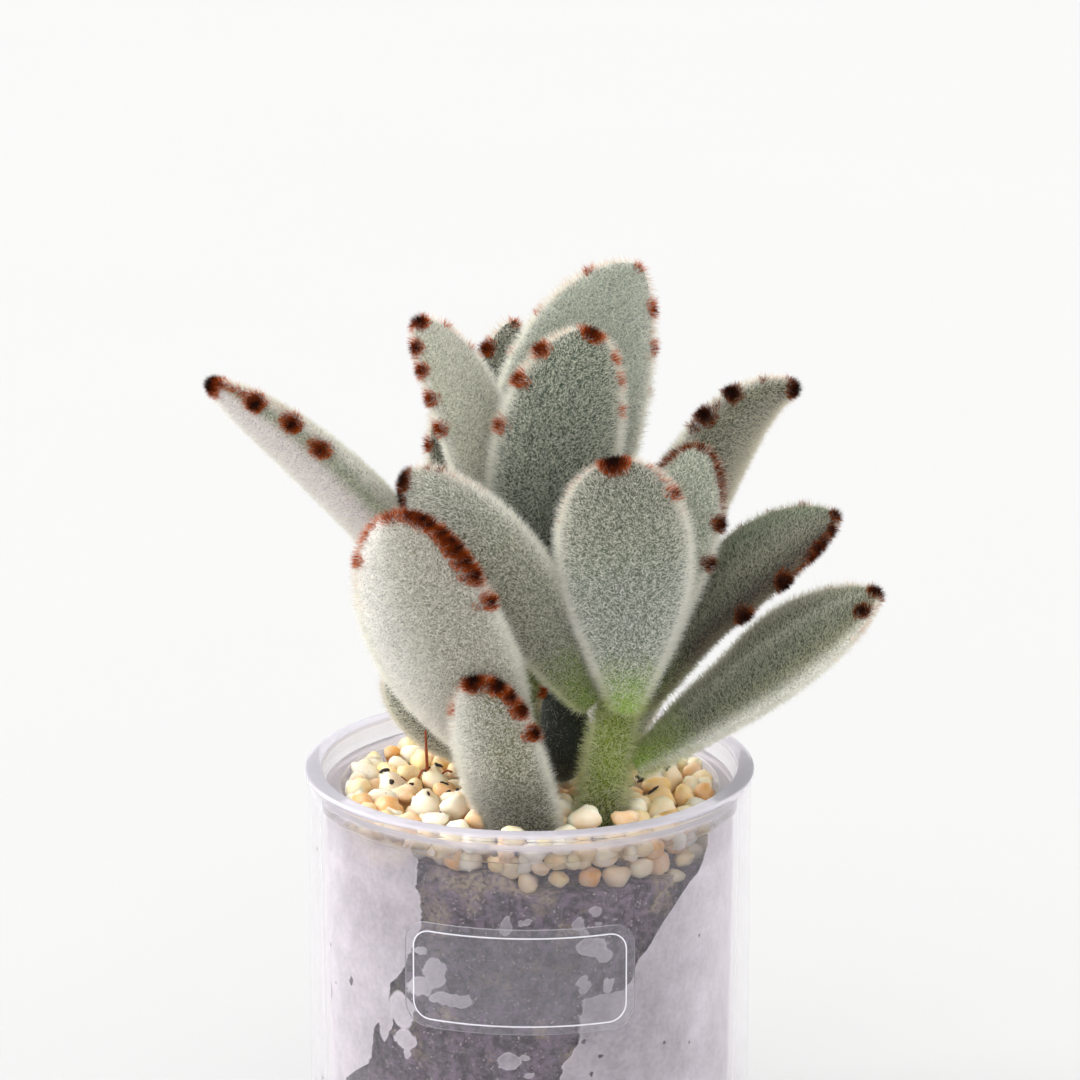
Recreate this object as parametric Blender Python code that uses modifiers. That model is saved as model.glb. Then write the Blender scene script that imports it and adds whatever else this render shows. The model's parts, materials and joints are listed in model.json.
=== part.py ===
# Panda plant in a clear two-walled cup: felted leaves on two short stems,
# pale gravel over soil, an inner liner standing in an outer cup, and a clear label.
# Millimetres and degrees below; +Z is up, the front of the cup faces -Y, and the
# origin is the centre of the cup's flat underside.

import math
import random
from collections import namedtuple

import bmesh
import bpy
import numpy as np

MM = 0.001
GAP = 0.3
SOCKET = 0.4

# Outer cup, a straight clear cylinder
CUP_RADIUS = 32.5
CUP_HEIGHT = 66.0
CUP_WALL = 2.2
CUP_FLOOR = 2.7
LIP = 0.4
LIP_HEIGHT = 1.1
EDGE = 0.3
TURN_STEPS = 56

# Inner liner, whose rim sits just inside the cup's rim
LINER_RADIUS = 29.2
LINER_WALL = 1.6
LINER_FLOOR = 2.0
LINER_TOP = CUP_HEIGHT - 2.8
LINER_RIM = 1.5
FILL_RADIUS = LINER_RADIUS - LINER_WALL - GAP

# Soil and gravel fill the liner
SOIL_BOTTOM = CUP_FLOOR + GAP + LINER_FLOOR + GAP
SOIL_TOP = 55.7
GRAVEL_BOTTOM = SOIL_TOP + GAP
GRAVEL_CORE_TOP = 61.8
GRAVEL_MOUND = 0.8
GRAVEL_CORE_RADIUS = FILL_RADIUS - 1.6
CORE_SIDES = 40
PEBBLE_LENGTH = (3.6, 5.4)
PEBBLE_SPACING = 3.7
PEBBLE_WOBBLE = 0.4
PEBBLE_TRIES = 6000
STEM_CLEARING = 3.6
WALL_PEBBLES = 30
WALL_ROWS = (58.1, 60.8)
WALL_LENGTH = (4.0, 4.8)
WALL_DEPTH = 3.2
WALL_RISE = 3.0
GRAVEL_SEED = 11

# Label on the front of the cup
LABEL_WIDTH = 34.0
LABEL_HEIGHT = 15.8
LABEL_CORNER = 3.4
LABEL_THICKNESS = 0.3
LABEL_TURN = -2.6
LABEL_CLEARANCE = 0.35
LABEL_STRIPS = 10
LABEL_CENTRE = 44.1

# Stems: points up the middle of each, with the radius there
Stem = namedtuple("Stem", "name points radii")
STEMS = {
    "front": Stem("stem_front", [(9.6, -13.5, 50), (10.1, -13.5, 63), (12.3, -13.0, 76),
                                 (13.6, -11.0, 86), (13.2, -8.0, 92)], [2.2, 3.2, 2.8, 2.3, 1.3]),
    "back": Stem("stem_back", [(1.5, -2.0, 50), (1.0, -2.0, 63), (-0.6, -2.2, 80),
                               (0.2, -2.6, 90), (0.4, -2.4, 93)], [1.8, 2.5, 2.3, 1.9, 1.2]),
}

# Leaves: the stem that each grows from, and the height and compass side of its foot
# there (None rises out of the gravel from a point of its own), its middle and tip, the
# compass direction and tilt that its upper face looks to, its width and thickness, the
# width of its stalk, how far along it is widest, how pointed it is (0.5 is round), and
# its pairs of teeth.
Leaf = namedtuple("Leaf", "name stem foot middle tip face width thick stalk widest point teeth")
LEAVES = [
    Leaf("leaf_front_round", "front", (80.5, -80), (13.7, -18.0, 100.0), (11.9, -17.5, 116.6),
         (90, 0), 18.6, 5.0, 4.6, 0.62, 0.50, 3),
    Leaf("leaf_front_right", "front", (85.0, 0), (20.0, -11.0, 100.2), (24.5, -10.0, 116.6),
         (75, 10), 11.5, 4.2, 3.4, 0.62, 0.60, 4),
    Leaf("leaf_middle_left", "front", (80.0, 190), (-4.3, -14.5, 99.5), (-17.8, -11.5, 112.6),
         (75, 25), 15.8, 5.0, 4.4, 0.60, 0.50, 4),
    Leaf("leaf_low_right", "front", (70.5, 0), (34.6, -13.0, 85.6), (50.0, -11.0, 95.4),
         (-134, 46), 15.2, 4.6, 4.0, 0.60, 0.70, 4),
    Leaf("leaf_right", "front", (78.5, 32), (29.3, -6.0, 95.4), (44.3, -4.0, 104.8),
         (-133, 38), 13.2, 4.4, 3.6, 0.60, 0.70, 4),
    Leaf("leaf_upper_right", "front", (87.6, 70), (27.2, 1.0, 113.4), (38.5, 2.0, 122.3),
         (119, 28), 15.6, 5.0, 3.4, 0.45, 0.66, 4),
    Leaf("leaf_small_front", None, (0.6, -20.0, 58.0), (-3.9, -22.0, 73.0), (-7.8, -24.0, 86.2),
         (80, 10), 11.8, 5.5, 9.0, 0.50, 0.50, 3),
    Leaf("leaf_big_left", "back", (66.0, -120), (-11.8, -19.5, 88.0), (-19.6, -21.5, 109.8),
         (75, 10), 20.0, 5.5, 4.2, 0.60, 0.50, 4),
    Leaf("leaf_dark_inner", "back", (66.6, -50), (5.3, -8.8, 71.0), (3.6, -8.2, 81.6),
         (90, 0), 7.6, 3.2, 3.0, 0.50, 0.70, 2),
    Leaf("leaf_far_left", "back", (81.0, 180), (-23.2, -3.5, 105.8), (-45.6, -4.0, 124.6),
         (44, 32), 15.0, 6.0, 4.0, 0.60, 0.60, 4),
    Leaf("leaf_centre_tall", "back", (89.5, -60), (3.6, -4.6, 112.6), (9.0, -3.6, 132.0),
         (100, 0), 18.0, 5.0, 4.0, 0.52, 0.50, 4),
    Leaf("leaf_back_tallest", "back", (84.5, 60), (5.6, 10.5, 115.9), (16.2, 15.0, 137.2),
         (-88, 5), 21.4, 5.0, 4.2, 0.55, 0.66, 4),
    Leaf("leaf_upper_left", "back", (89.5, 165), (-7.1, -0.6, 114.0), (-16.1, 0.4, 132.6),
         (-40, 10), 13.2, 4.6, 3.4, 0.58, 0.60, 5),
    Leaf("leaf_behind_left", "back", (67.0, 165), (-14.9, 2.5, 70.9), (-19.6, 1.5, 79.8),
         (60, 30), 8.0, 3.6, 3.2, 0.55, 0.60, 2),
    Leaf("leaf_back_left", "back", (73.0, 160), (-10.2, 7.2, 104.4), (-13.0, 8.5, 118.3),
         (-70, 20), 9.0, 3.6, 3.0, 0.55, 0.60, 3),
    Leaf("leaf_back_tip", "back", (76.0, 92), (-3.6, 18.5, 110.1), (-2.0, 23.0, 127.0),
         (-80, 5), 11.0, 3.8, 3.4, 0.60, 0.60, 3),
    Leaf("leaf_behind_stem", "front", (70.0, 80), (17.2, -4.6, 78.0), (19.2, -1.8, 85.5),
         (150, 10), 6.6, 2.8, 2.6, 0.55, 0.60, 2),
    Leaf("leaf_young_left", "front", (85.5, 150), (8.1, -10.0, 92.2), (5.6, -10.0, 99.6),
         (10, 20), 6.0, 2.6, 2.4, 0.55, 0.60, 2),
]
LEAF_SIDES = 10
BODY_STATIONS = 7
TOOTH = 0.6
TOOTH_START = 0.54
TOOTH_END = 0.975
CUP_SHAPE = 0.10
STALK_REACH = 0.6


def unit(v):
    v = np.asarray(v, float)
    return v / np.linalg.norm(v, axis=-1, keepdims=True)


def heading(compass, tilt):
    a, e = math.radians(compass), math.radians(tilt)
    return np.array([math.cos(e) * math.cos(a), math.cos(e) * math.sin(a), math.sin(e)])


def material(name, colour, roughness, metallic=0.0, transmission=0.0):
    mat = bpy.data.materials.new(name)
    mat.use_nodes = True
    shader = mat.node_tree.nodes["Principled BSDF"]
    shader.inputs["Base Color"].default_value = (*colour, 1)
    shader.inputs["Roughness"].default_value = roughness
    shader.inputs["Metallic"].default_value = metallic
    shader.inputs["Transmission Weight"].default_value = transmission
    mat.diffuse_color = (*colour, 1)
    return mat


def add_object(name, data, collection, mat=None):
    obj = bpy.data.objects.new(name, data)
    collection.objects.link(obj)
    if mat:
        data.materials.append(mat)
    return obj


def mesh_of(name, vertices, faces, edges=()):
    mesh = bpy.data.meshes.new(name)
    mesh.from_pydata([tuple(float(c) * MM for c in v) for v in vertices], edges, faces)
    mesh.update()
    return mesh


def turned(name, profile, collection, mat):
    """A profile of (radius, height) spun about Z; it runs down its outer side."""
    points = [(r, 0, z) for r, z in profile]
    lines = [(i, i + 1) for i in range(len(points) - 1)]
    obj = add_object(name, mesh_of(name, points, [], lines), collection, mat)
    screw = obj.modifiers.new("turn", "SCREW")
    screw.steps = TURN_STEPS
    screw.render_steps = TURN_STEPS
    screw.use_merge_vertices = True
    screw.merge_threshold = 0.00001
    screw.use_smooth_shade = True
    return obj


def cup(collection, mat):
    inner = CUP_RADIUS - CUP_WALL
    profile = [(0, CUP_FLOOR), (inner - 1, CUP_FLOOR), (inner, CUP_FLOOR + 1),
               (inner, CUP_HEIGHT - EDGE), (inner + EDGE, CUP_HEIGHT),
               (CUP_RADIUS + LIP - EDGE, CUP_HEIGHT), (CUP_RADIUS + LIP, CUP_HEIGHT - EDGE),
               (CUP_RADIUS + LIP, CUP_HEIGHT - LIP_HEIGHT + EDGE),
               (CUP_RADIUS, CUP_HEIGHT - LIP_HEIGHT), (CUP_RADIUS, 1), (CUP_RADIUS - 1, 0), (0, 0)]
    return turned("cup_outer", profile, collection, mat)


def liner(collection, mat):
    base = CUP_FLOOR + GAP
    inner = LINER_RADIUS - LINER_WALL
    rim = CUP_RADIUS - CUP_WALL - GAP
    profile = [(0, base + LINER_FLOOR), (inner - 1, base + LINER_FLOOR),
               (inner, base + LINER_FLOOR + 1), (inner, LINER_TOP - EDGE),
               (inner + EDGE, LINER_TOP), (rim - EDGE, LINER_TOP), (rim, LINER_TOP - EDGE),
               (rim, LINER_TOP - LINER_RIM), (LINER_RADIUS, LINER_TOP - LINER_RIM - 0.8),
               (LINER_RADIUS, base + 1.5), (LINER_RADIUS - 1.5, base), (0, base)]
    return turned("liner", profile, collection, mat)


def label(collection, mat):
    """A rounded oblong, cut into upright strips and wrapped round the cup's front."""
    half_w = LABEL_WIDTH / 2 - LABEL_CORNER
    half_h = LABEL_HEIGHT / 2 - LABEL_CORNER
    outline = []
    for sx, sz, start in ((1, -1, -90), (1, 1, 0), (-1, 1, 90), (-1, -1, 180)):
        for step in range(5):
            a = math.radians(start + step * 22.5)
            outline.append((sx * half_w + LABEL_CORNER * math.cos(a), 0,
                            sz * half_h + LABEL_CORNER * math.sin(a)))
    mesh = mesh_of("label", outline, [tuple(range(len(outline)))])
    bm = bmesh.new()
    bm.from_mesh(mesh)
    for i in range(1, LABEL_STRIPS):
        x = (i / LABEL_STRIPS - 0.5) * LABEL_WIDTH * MM
        bmesh.ops.bisect_plane(bm, geom=bm.verts[:] + bm.edges[:] + bm.faces[:],
                               plane_co=(x, 0, 0), plane_no=(1, 0, 0), dist=1e-7)
    radius = (CUP_RADIUS + LABEL_CLEARANCE) * MM
    for v in bm.verts:
        a = v.co.x / radius + math.radians(LABEL_TURN)
        v.co = (radius * math.sin(a), -radius * math.cos(a), v.co.z + LABEL_CENTRE * MM)
    bm.normal_update()
    bm.to_mesh(mesh)
    bm.free()
    obj = add_object("label", mesh, collection, mat)
    sheet = obj.modifiers.new("thickness", "SOLIDIFY")
    sheet.thickness = LABEL_THICKNESS * MM
    sheet.offset = 1
    return obj


def along(points, heights, z):
    return np.array([np.interp(z, heights, [p[i] for p in points]) for i in range(3)])


def stem(plan, collection, mat, extra=0.0):
    """A stem as a bevelled curve with its own radius at each point, made a mesh.

    extra swells it and sinks its foot, which makes the hole that the stem stands in.
    """
    curve = bpy.data.curves.new(plan.name, "CURVE")
    curve.dimensions = "3D"
    curve.bevel_depth = MM
    curve.bevel_resolution = 3
    curve.use_fill_caps = True
    spline = curve.splines.new("POLY")
    spline.points.add(len(plan.points) - 1)
    for i, (point, radius) in enumerate(zip(plan.points, plan.radii)):
        x, y, z = point
        if i == 0:
            z -= extra
        spline.points[i].co = (x * MM, y * MM, z * MM, 1)
        spline.points[i].radius = radius + extra
    obj = add_object(plan.name + "_curve", curve, collection)
    evaluated = obj.evaluated_get(bpy.context.evaluated_depsgraph_get())
    mesh = bpy.data.meshes.new_from_object(evaluated)
    bpy.data.objects.remove(obj)
    bm = bmesh.new()
    bm.from_mesh(mesh)
    bmesh.ops.remove_doubles(bm, verts=bm.verts[:], dist=1e-6)
    bmesh.ops.recalc_face_normals(bm, faces=bm.faces[:])
    bm.to_mesh(mesh)
    bm.free()
    mesh.shade_smooth()
    mesh.name = plan.name
    return add_object(plan.name, mesh, collection, mat)


def leaf_root(leaf):
    """Where the stalk starts, its cut end just clear of the skin of its stem."""
    if leaf.stem is None:
        return np.array(leaf.foot, float)
    plan = STEMS[leaf.stem]
    height, compass = leaf.foot
    heights = [p[2] for p in plan.points]
    out = heading(compass, 0)
    skin = along(plan.points, heights, height) + out * np.interp(height, heights, plan.radii)
    middle, tip = np.array(leaf.middle, float), np.array(leaf.tip, float)
    rise = unit(2 * middle - (skin + tip) / 2 - skin)
    reach = STALK_REACH * leaf.stalk * math.sqrt(1 - (rise @ out) ** 2)
    return skin + out * (GAP + reach)


def leaf_rings(leaf, swell=0.0):
    """Cross-sections from the stalk's foot to just before the tip, margins toothed."""
    root, middle, tip = leaf_root(leaf), np.array(leaf.middle, float), np.array(leaf.tip, float)
    control = 2 * middle - (root + tip) / 2
    t = np.linspace(0, 1, 401)[:, None]
    line = (1 - t) ** 2 * root + 2 * t * (1 - t) * control + t ** 2 * tip
    run = np.concatenate([[0], np.cumsum(np.linalg.norm(np.diff(line, axis=0), axis=1))])
    run /= run[-1]
    body = np.linspace(0, TOOTH_START, BODY_STATIONS, endpoint=False)
    toothed = np.linspace(TOOTH_START, TOOTH_END, 2 * leaf.teeth + 1)
    u = np.concatenate([body, toothed])
    centre = np.stack([np.interp(u, run, line[:, i]) for i in range(3)], -1)
    slope = np.gradient(line, axis=0)
    ahead = unit(np.stack([np.interp(u, run, slope[:, i]) for i in range(3)], -1))
    face = heading(*leaf.face)
    up = unit(face - (ahead @ face)[:, None] * ahead)
    side = np.cross(ahead, up)

    half, stalk = leaf.width / 2, leaf.stalk / 2
    widen = np.sin(np.pi / 2 * np.clip(u / leaf.widest, 0, 1)) ** 1.3
    taper = np.clip((u - leaf.widest) / (1 - leaf.widest), 0, 1)
    width = np.where(u < leaf.widest, stalk + (half - stalk) * widen,
                     half * (1 - taper ** 2.2) ** leaf.point)
    depth = stalk + (leaf.thick / 2 - stalk) * np.sin(np.pi / 2 * np.clip(u / 0.45, 0, 1)) ** 1.2
    thin = 1 - 0.55 * np.clip((u - 0.45) / 0.55, 0, 1) ** 1.5
    depth = np.where(u > 0.45, leaf.thick / 2 * thin, depth) * np.sqrt(1 - u ** 14)
    width = width + swell
    depth = depth + swell

    angles = 2 * np.pi * np.arange(LEAF_SIDES) / LEAF_SIDES
    cos, sin = np.cos(angles), np.sin(angles)
    rings = []
    for i, position in enumerate(u):
        blade = min(1, position / 0.3)
        across = np.sign(cos) * np.abs(cos) ** (1 - 0.12 * blade) * width[i]
        lift = np.sign(sin) * np.abs(sin) ** (1 + 0.25 * blade) * depth[i]
        lift = lift * np.where(sin < 0, 1.15, 0.85)
        if i >= BODY_STATIONS and (i - BODY_STATIONS) % 2 == 1:
            across = across + np.sign(cos) * np.abs(cos) ** 6 * TOOTH
        trough = CUP_SHAPE * blade * width[i]
        lift = lift + trough * (across / width[i]) ** 2 - 0.4 * trough
        rings.append(centre[i] + across[:, None] * side[i] + lift[:, None] * up[i])
    return rings, tip


def leaf_object(leaf, collection, mat, swell=0.0):
    """Lofts the sections, with a fan at the stalk's foot and one at the tip."""
    rings, tip = leaf_rings(leaf, swell)
    n = LEAF_SIDES
    vertices = [p for ring in rings for p in ring]
    faces = []
    for r in range(len(rings) - 1):
        for j in range(n):
            a, b = r * n + j, r * n + (j + 1) % n
            faces.append((a, b + n, b))
            faces.append((a, a + n, b + n))
    foot, top = len(vertices), len(vertices) + 1
    last = (len(rings) - 1) * n
    vertices += [rings[0].mean(axis=0), tip]
    for j in range(n):
        faces.append((foot, j, (j + 1) % n))
        faces.append((top, last + (j + 1) % n, last + j))
    obj = add_object(leaf.name, mesh_of(leaf.name, vertices, faces), collection, mat)
    obj.data.shade_smooth()
    return obj


def pebble(name, size, place, spin, collection):
    """A low-sided rounded stone lying on its flat side."""
    mesh = bpy.data.meshes.new(name)
    bm = bmesh.new()
    bmesh.ops.create_uvsphere(bm, u_segments=6, v_segments=4, radius=MM / 2)
    bm.to_mesh(mesh)
    bm.free()
    obj = add_object(name, mesh, collection)
    obj.scale = size
    obj.rotation_euler = spin
    obj.location = [c * MM for c in place]
    return obj


def gravel(collection, work, cutters, mat):
    """A bed of pebbles on a sunken core, one body, with holes for what stands in it."""
    rng = random.Random(GRAVEL_SEED)
    bpy.ops.mesh.primitive_cylinder_add(vertices=CORE_SIDES, radius=GRAVEL_CORE_RADIUS * MM,
                                        depth=(GRAVEL_CORE_TOP - GRAVEL_BOTTOM) * MM,
                                        location=(0, 0, (GRAVEL_CORE_TOP + GRAVEL_BOTTOM) / 2 * MM))
    bed = bpy.context.object
    bed.name = "gravel"
    for owner in bed.users_collection:
        owner.objects.unlink(bed)
    collection.objects.link(bed)
    bed.data.materials.append(mat)

    feet = [along(s.points, [p[2] for p in s.points], GRAVEL_CORE_TOP)[:2] for s in STEMS.values()]
    centres = []
    for attempt in range(PEBBLE_TRIES):
        reach = (FILL_RADIUS - PEBBLE_LENGTH[0] / 2) * math.sqrt(rng.random())
        turn = rng.uniform(0, 2 * math.pi)
        spot = np.array([reach * math.cos(turn), reach * math.sin(turn)])
        if any(np.linalg.norm(spot - c) < PEBBLE_SPACING for c in centres):
            continue
        if any(np.linalg.norm(spot - f) < STEM_CLEARING for f in feet):
            continue
        centres.append(spot)
    for i, spot in enumerate(centres):
        length = rng.uniform(*PEBBLE_LENGTH)
        size = (length, length * rng.uniform(0.72, 0.95), length * rng.uniform(0.6, 0.8))
        room = (FILL_RADIUS - length / 2) / max(np.linalg.norm(spot), 1e-6)
        spot = spot * min(1, room)
        mound = GRAVEL_MOUND * (1 - (np.linalg.norm(spot) / FILL_RADIUS) ** 2)
        rise = mound + rng.uniform(-PEBBLE_WOBBLE, PEBBLE_WOBBLE)
        place = (spot[0], spot[1], GRAVEL_CORE_TOP + rise)
        spin = (rng.uniform(-0.3, 0.3), rng.uniform(-0.3, 0.3), rng.uniform(0, math.pi))
        pebble(f"pebble_{i}", size, place, spin, work)
    for row, z in enumerate(WALL_ROWS):
        for i in range(WALL_PEBBLES):
            turn = 2 * math.pi * (i + 0.5 * row + rng.uniform(-0.2, 0.2)) / WALL_PEBBLES
            reach = FILL_RADIUS - WALL_DEPTH / 2
            place = (reach * math.cos(turn), reach * math.sin(turn), z)
            size = (WALL_DEPTH, rng.uniform(*WALL_LENGTH), WALL_RISE)
            pebble(f"wall_pebble_{row}_{i}", size, place, (0, 0, turn), work)

    join = bed.modifiers.new("join", "BOOLEAN")
    join.operation = "UNION"
    join.operand_type = "COLLECTION"
    join.collection = work
    join.solver = "MANIFOLD"
    apply_modifiers(bed)
    for obj in list(work.objects):
        bpy.data.objects.remove(obj)
    for cutter in cutters:
        cut(bed, cutter)
    return bed


def apply_modifiers(obj):
    evaluated = obj.evaluated_get(bpy.context.evaluated_depsgraph_get())
    mesh = bpy.data.meshes.new_from_object(evaluated)
    obj.modifiers.clear()
    obj.data = mesh


def cut(obj, cutter):
    hole = obj.modifiers.new("hole " + cutter.name, "BOOLEAN")
    hole.operation = "DIFFERENCE"
    hole.solver = "EXACT"
    hole.object = cutter


def soil(collection, cutters, mat):
    profile = [(0, SOIL_TOP), (FILL_RADIUS, SOIL_TOP), (FILL_RADIUS, SOIL_BOTTOM + 1),
               (FILL_RADIUS - 1, SOIL_BOTTOM), (0, SOIL_BOTTOM)]
    obj = turned("soil", profile, collection, mat)
    for cutter in cutters:
        cut(obj, cutter)
    return obj


def build():
    for obj in list(bpy.data.objects):
        bpy.data.objects.remove(obj)
    plant = bpy.data.collections.new("potted panda plant")
    work = bpy.data.collections.new("pebbles")
    cutting = bpy.data.collections.new("cutters")
    for collection in (plant, work, cutting):
        bpy.context.scene.collection.children.link(collection)

    clear = material("clear plastic", (0.93, 0.92, 0.96), 0.08, transmission=0.9)
    print_film = material("label film", (0.9, 0.9, 0.92), 0.25, transmission=0.5)
    earth = material("dark soil", (0.09, 0.07, 0.07), 0.95)
    stone = material("cream gravel", (0.82, 0.72, 0.52), 0.6)
    green = material("green stem", (0.36, 0.43, 0.16), 0.9)
    felt = material("felted leaf", (0.42, 0.48, 0.40), 0.95)

    cup(plant, clear)
    liner(plant, clear)
    label(plant, print_film)

    cutters = [stem(s._replace(name=s.name + "_hole"), cutting, None, SOCKET)
               for s in STEMS.values()]
    buried = [leaf for leaf in LEAVES if leaf.stem is None]
    sockets = []
    for leaf in buried:
        deeper = leaf._replace(name=leaf.name + "_hole",
                               foot=tuple(np.array(leaf.foot) - (0, 0, SOCKET)))
        sockets.append(leaf_object(deeper, cutting, None, SOCKET))
    for cutter in cutters + sockets:
        cutter.hide_render = True
        cutter.display_type = "WIRE"
    soil(plant, cutters, earth)
    gravel(plant, work, cutters + sockets, stone)

    for plan in STEMS.values():
        stem(plan, plant, green)
    for leaf in LEAVES:
        leaf_object(leaf, plant, felt)


build()
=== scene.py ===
import json
import math
import random
from types import SimpleNamespace

import bmesh
import bpy
import numpy as np
from mathutils import Matrix, Vector
from mathutils.bvhtree import BVHTree

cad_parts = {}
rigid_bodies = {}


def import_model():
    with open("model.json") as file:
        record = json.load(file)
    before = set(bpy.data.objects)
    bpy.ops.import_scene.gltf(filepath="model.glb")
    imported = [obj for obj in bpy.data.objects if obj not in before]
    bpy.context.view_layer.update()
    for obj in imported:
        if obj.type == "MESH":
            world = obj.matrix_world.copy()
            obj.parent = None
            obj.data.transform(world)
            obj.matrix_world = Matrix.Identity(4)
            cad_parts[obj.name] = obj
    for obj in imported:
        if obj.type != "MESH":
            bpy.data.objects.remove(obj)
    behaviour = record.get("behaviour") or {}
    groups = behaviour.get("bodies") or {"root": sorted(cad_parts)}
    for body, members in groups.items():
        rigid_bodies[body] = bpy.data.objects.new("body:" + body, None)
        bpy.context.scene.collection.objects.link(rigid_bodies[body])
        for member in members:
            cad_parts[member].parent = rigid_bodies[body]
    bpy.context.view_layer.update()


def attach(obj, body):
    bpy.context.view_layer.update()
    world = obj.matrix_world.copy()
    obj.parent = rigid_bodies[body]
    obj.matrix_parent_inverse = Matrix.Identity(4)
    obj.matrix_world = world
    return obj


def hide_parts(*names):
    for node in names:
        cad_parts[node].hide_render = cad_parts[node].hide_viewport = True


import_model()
MM = 0.001

# Outer cup
# A thin straight cup pressed from clear plastic. Its lip is a narrow flat ring, scuffed to a
# grey-violet, and its wall carries faint upright wipe marks and a few specks of grit.
CUP_RADIUS, CUP_HEIGHT, CUP_WALL, CUP_FLOOR = 32.5, 66.0, 2.2, 2.7
CUP_LIP, CUP_LIP_DROP = 0.4, 1.1
TURNS = 160
# how dull the plastic is: in its wipe marks, on the ring's top, just below it and everywhere
WIPE_HAZE, RIM_HAZE, LIP_HAZE, WALL_HAZE = 0.03, 0.42, 0.15, 0.015
WIPE_SCALE, DULL_REACH = (420.0, 420.0, 26.0), 3.0


class Wire:
    """A socket in a node tree. Arithmetic on it adds Math nodes, node() any other kind."""

    def __init__(self, tree, socket=None):
        self.tree, self.socket = tree, socket

    def node(self, kind, sockets=(), out=0, **settings):
        made = self.tree.nodes.new(kind)
        for name, value in settings.items():
            setattr(made, name, value)
        for name, value in dict(sockets).items():
            if isinstance(name, str):
                target = next(s for s in made.inputs if s.enabled and s.name == name)
            else:
                target = [s for s in made.inputs if s.enabled][name]
            if isinstance(value, Wire):
                self.tree.links.new(value.socket, target)
            else:
                target.default_value = value
        if isinstance(out, str):
            return Wire(self.tree, next(s for s in made.outputs if s.enabled and s.name == out))
        outs = [s for s in made.outputs if s.enabled]
        return Wire(self.tree, outs[out] if outs else None)

    def beside(self, name):
        """Another output of the node that this socket belongs to."""
        return Wire(self.tree, self.socket.node.outputs[name])

    def maths(self, operation, *others):
        """A Math node that takes this socket first."""
        return self.node("ShaderNodeMath", dict(enumerate((self, *others))), operation=operation)

    def __add__(self, other):
        return self.maths("ADD", other)

    def __sub__(self, other):
        return self.maths("SUBTRACT", other)

    def __rsub__(self, other):
        return self.node("ShaderNodeMath", {0: other, 1: self}, operation="SUBTRACT")

    def __mul__(self, other):
        return self.maths("MULTIPLY", other)

    def __truediv__(self, other):
        return self.maths("DIVIDE", other)

    __radd__, __rmul__ = __add__, __mul__

    def along(self, axis):
        """One coordinate of a place."""
        return self.node("ShaderNodeSeparateXYZ", {0: self}, out=axis)

    def noise(self, scale, detail=2.0, **more):
        """Soft blotches over a place, from 0 to 1."""
        return self.node("ShaderNodeTexNoise", {"Vector": self, "Scale": scale, "Detail": detail, **more},
                         out="Fac")

    def dots(self, scale):
        """How far a place is from the nearest of many scattered dots."""
        return self.node("ShaderNodeTexVoronoi", {"Vector": self, "Scale": scale}, out="Distance")

    def above(self, level, soft):
        """0 below level, 1 above it, with an edge as wide as soft."""
        return self.node("ShaderNodeMapRange", {"Value": self, "From Min": level - soft / 2,
                                                "From Max": level + soft / 2})

    def tinted(self, low, high):
        """The colour low at 0 and high at 1."""
        return self.node("ShaderNodeMix", {"Factor": self, "A": low, "B": high}, data_type="RGBA")

    def place(self):
        """Where on its object the point to be coloured is."""
        return self.node("ShaderNodeTexCoord", out="Object")

    def kept(self, name):
        """The colour that a mesh keeps on its points under a name."""
        return self.node("ShaderNodeAttribute", out="Color", attribute_name=name)

    def bumps(self, strength, depth):
        """A bumpy normal, with this socket as the height."""
        return self.node("ShaderNodeBump", {"Strength": strength, "Distance": depth, "Height": self})


def paint(hex_code, level=1.0):
    """An sRGB colour code as a linear colour."""
    parts = [int(hex_code[i:i + 2], 16) / 255 for i in (1, 3, 5)]
    parts = [c / 12.92 if c <= 0.04045 else ((c + 0.055) / 1.055) ** 2.4 for c in parts]
    return (*[c * level for c in parts], 1.0)


def finish(name):
    """A new material with a bare tree, and a Wire that starts it."""
    mat = bpy.data.materials.new(name)
    mat.use_nodes = True
    mat.node_tree.nodes.clear()
    return mat, Wire(mat.node_tree)


def surface(start, shader):
    """Ends a material with a shader, or with the Principled one that has these inputs."""
    if isinstance(shader, dict):
        shader = start.node("ShaderNodeBsdfPrincipled", shader)
    start.node("ShaderNodeOutputMaterial", {"Surface": shader})


def hazy_surface(start, haze, clear, dull):
    """Ends a material with a clear plastic, and a dull one as far as there is haze."""
    clear = start.node("ShaderNodeBsdfPrincipled", {"Transmission Weight": 1.0, **clear})
    dull = start.node("ShaderNodeBsdfPrincipled", dull)
    surface(start, start.node("ShaderNodeMixShader", {0: haze, 1: clear, 2: dull}))


def hung(name, mesh, mat=None):
    """Puts a mesh in the scene as a piece at the origin."""
    piece = bpy.data.objects.new(name, mesh)
    bpy.context.scene.collection.objects.link(piece)
    if mat:
        mesh.materials.append(mat)
    return piece


def plain_mesh(name, points, faces, edges=()):
    mesh = bpy.data.meshes.new(name)
    mesh.from_pydata([tuple(float(c) for c in p) for p in points], list(edges),
                     [tuple(int(i) for i in f) for f in faces])
    mesh.update()
    return mesh


def settled(piece):
    """Applies what modifiers a piece has, leaving a plain mesh."""
    graph = bpy.context.evaluated_depsgraph_get()
    mesh = bpy.data.meshes.new_from_object(piece.evaluated_get(graph))
    piece.modifiers.clear()
    piece.data = mesh


def smoothed(piece, sharp):
    """Shades a piece smooth, but for edges that turn by more than this many degrees."""
    piece.data.shade_smooth()
    piece.data.set_sharp_from_angle(angle=math.radians(sharp))


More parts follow.
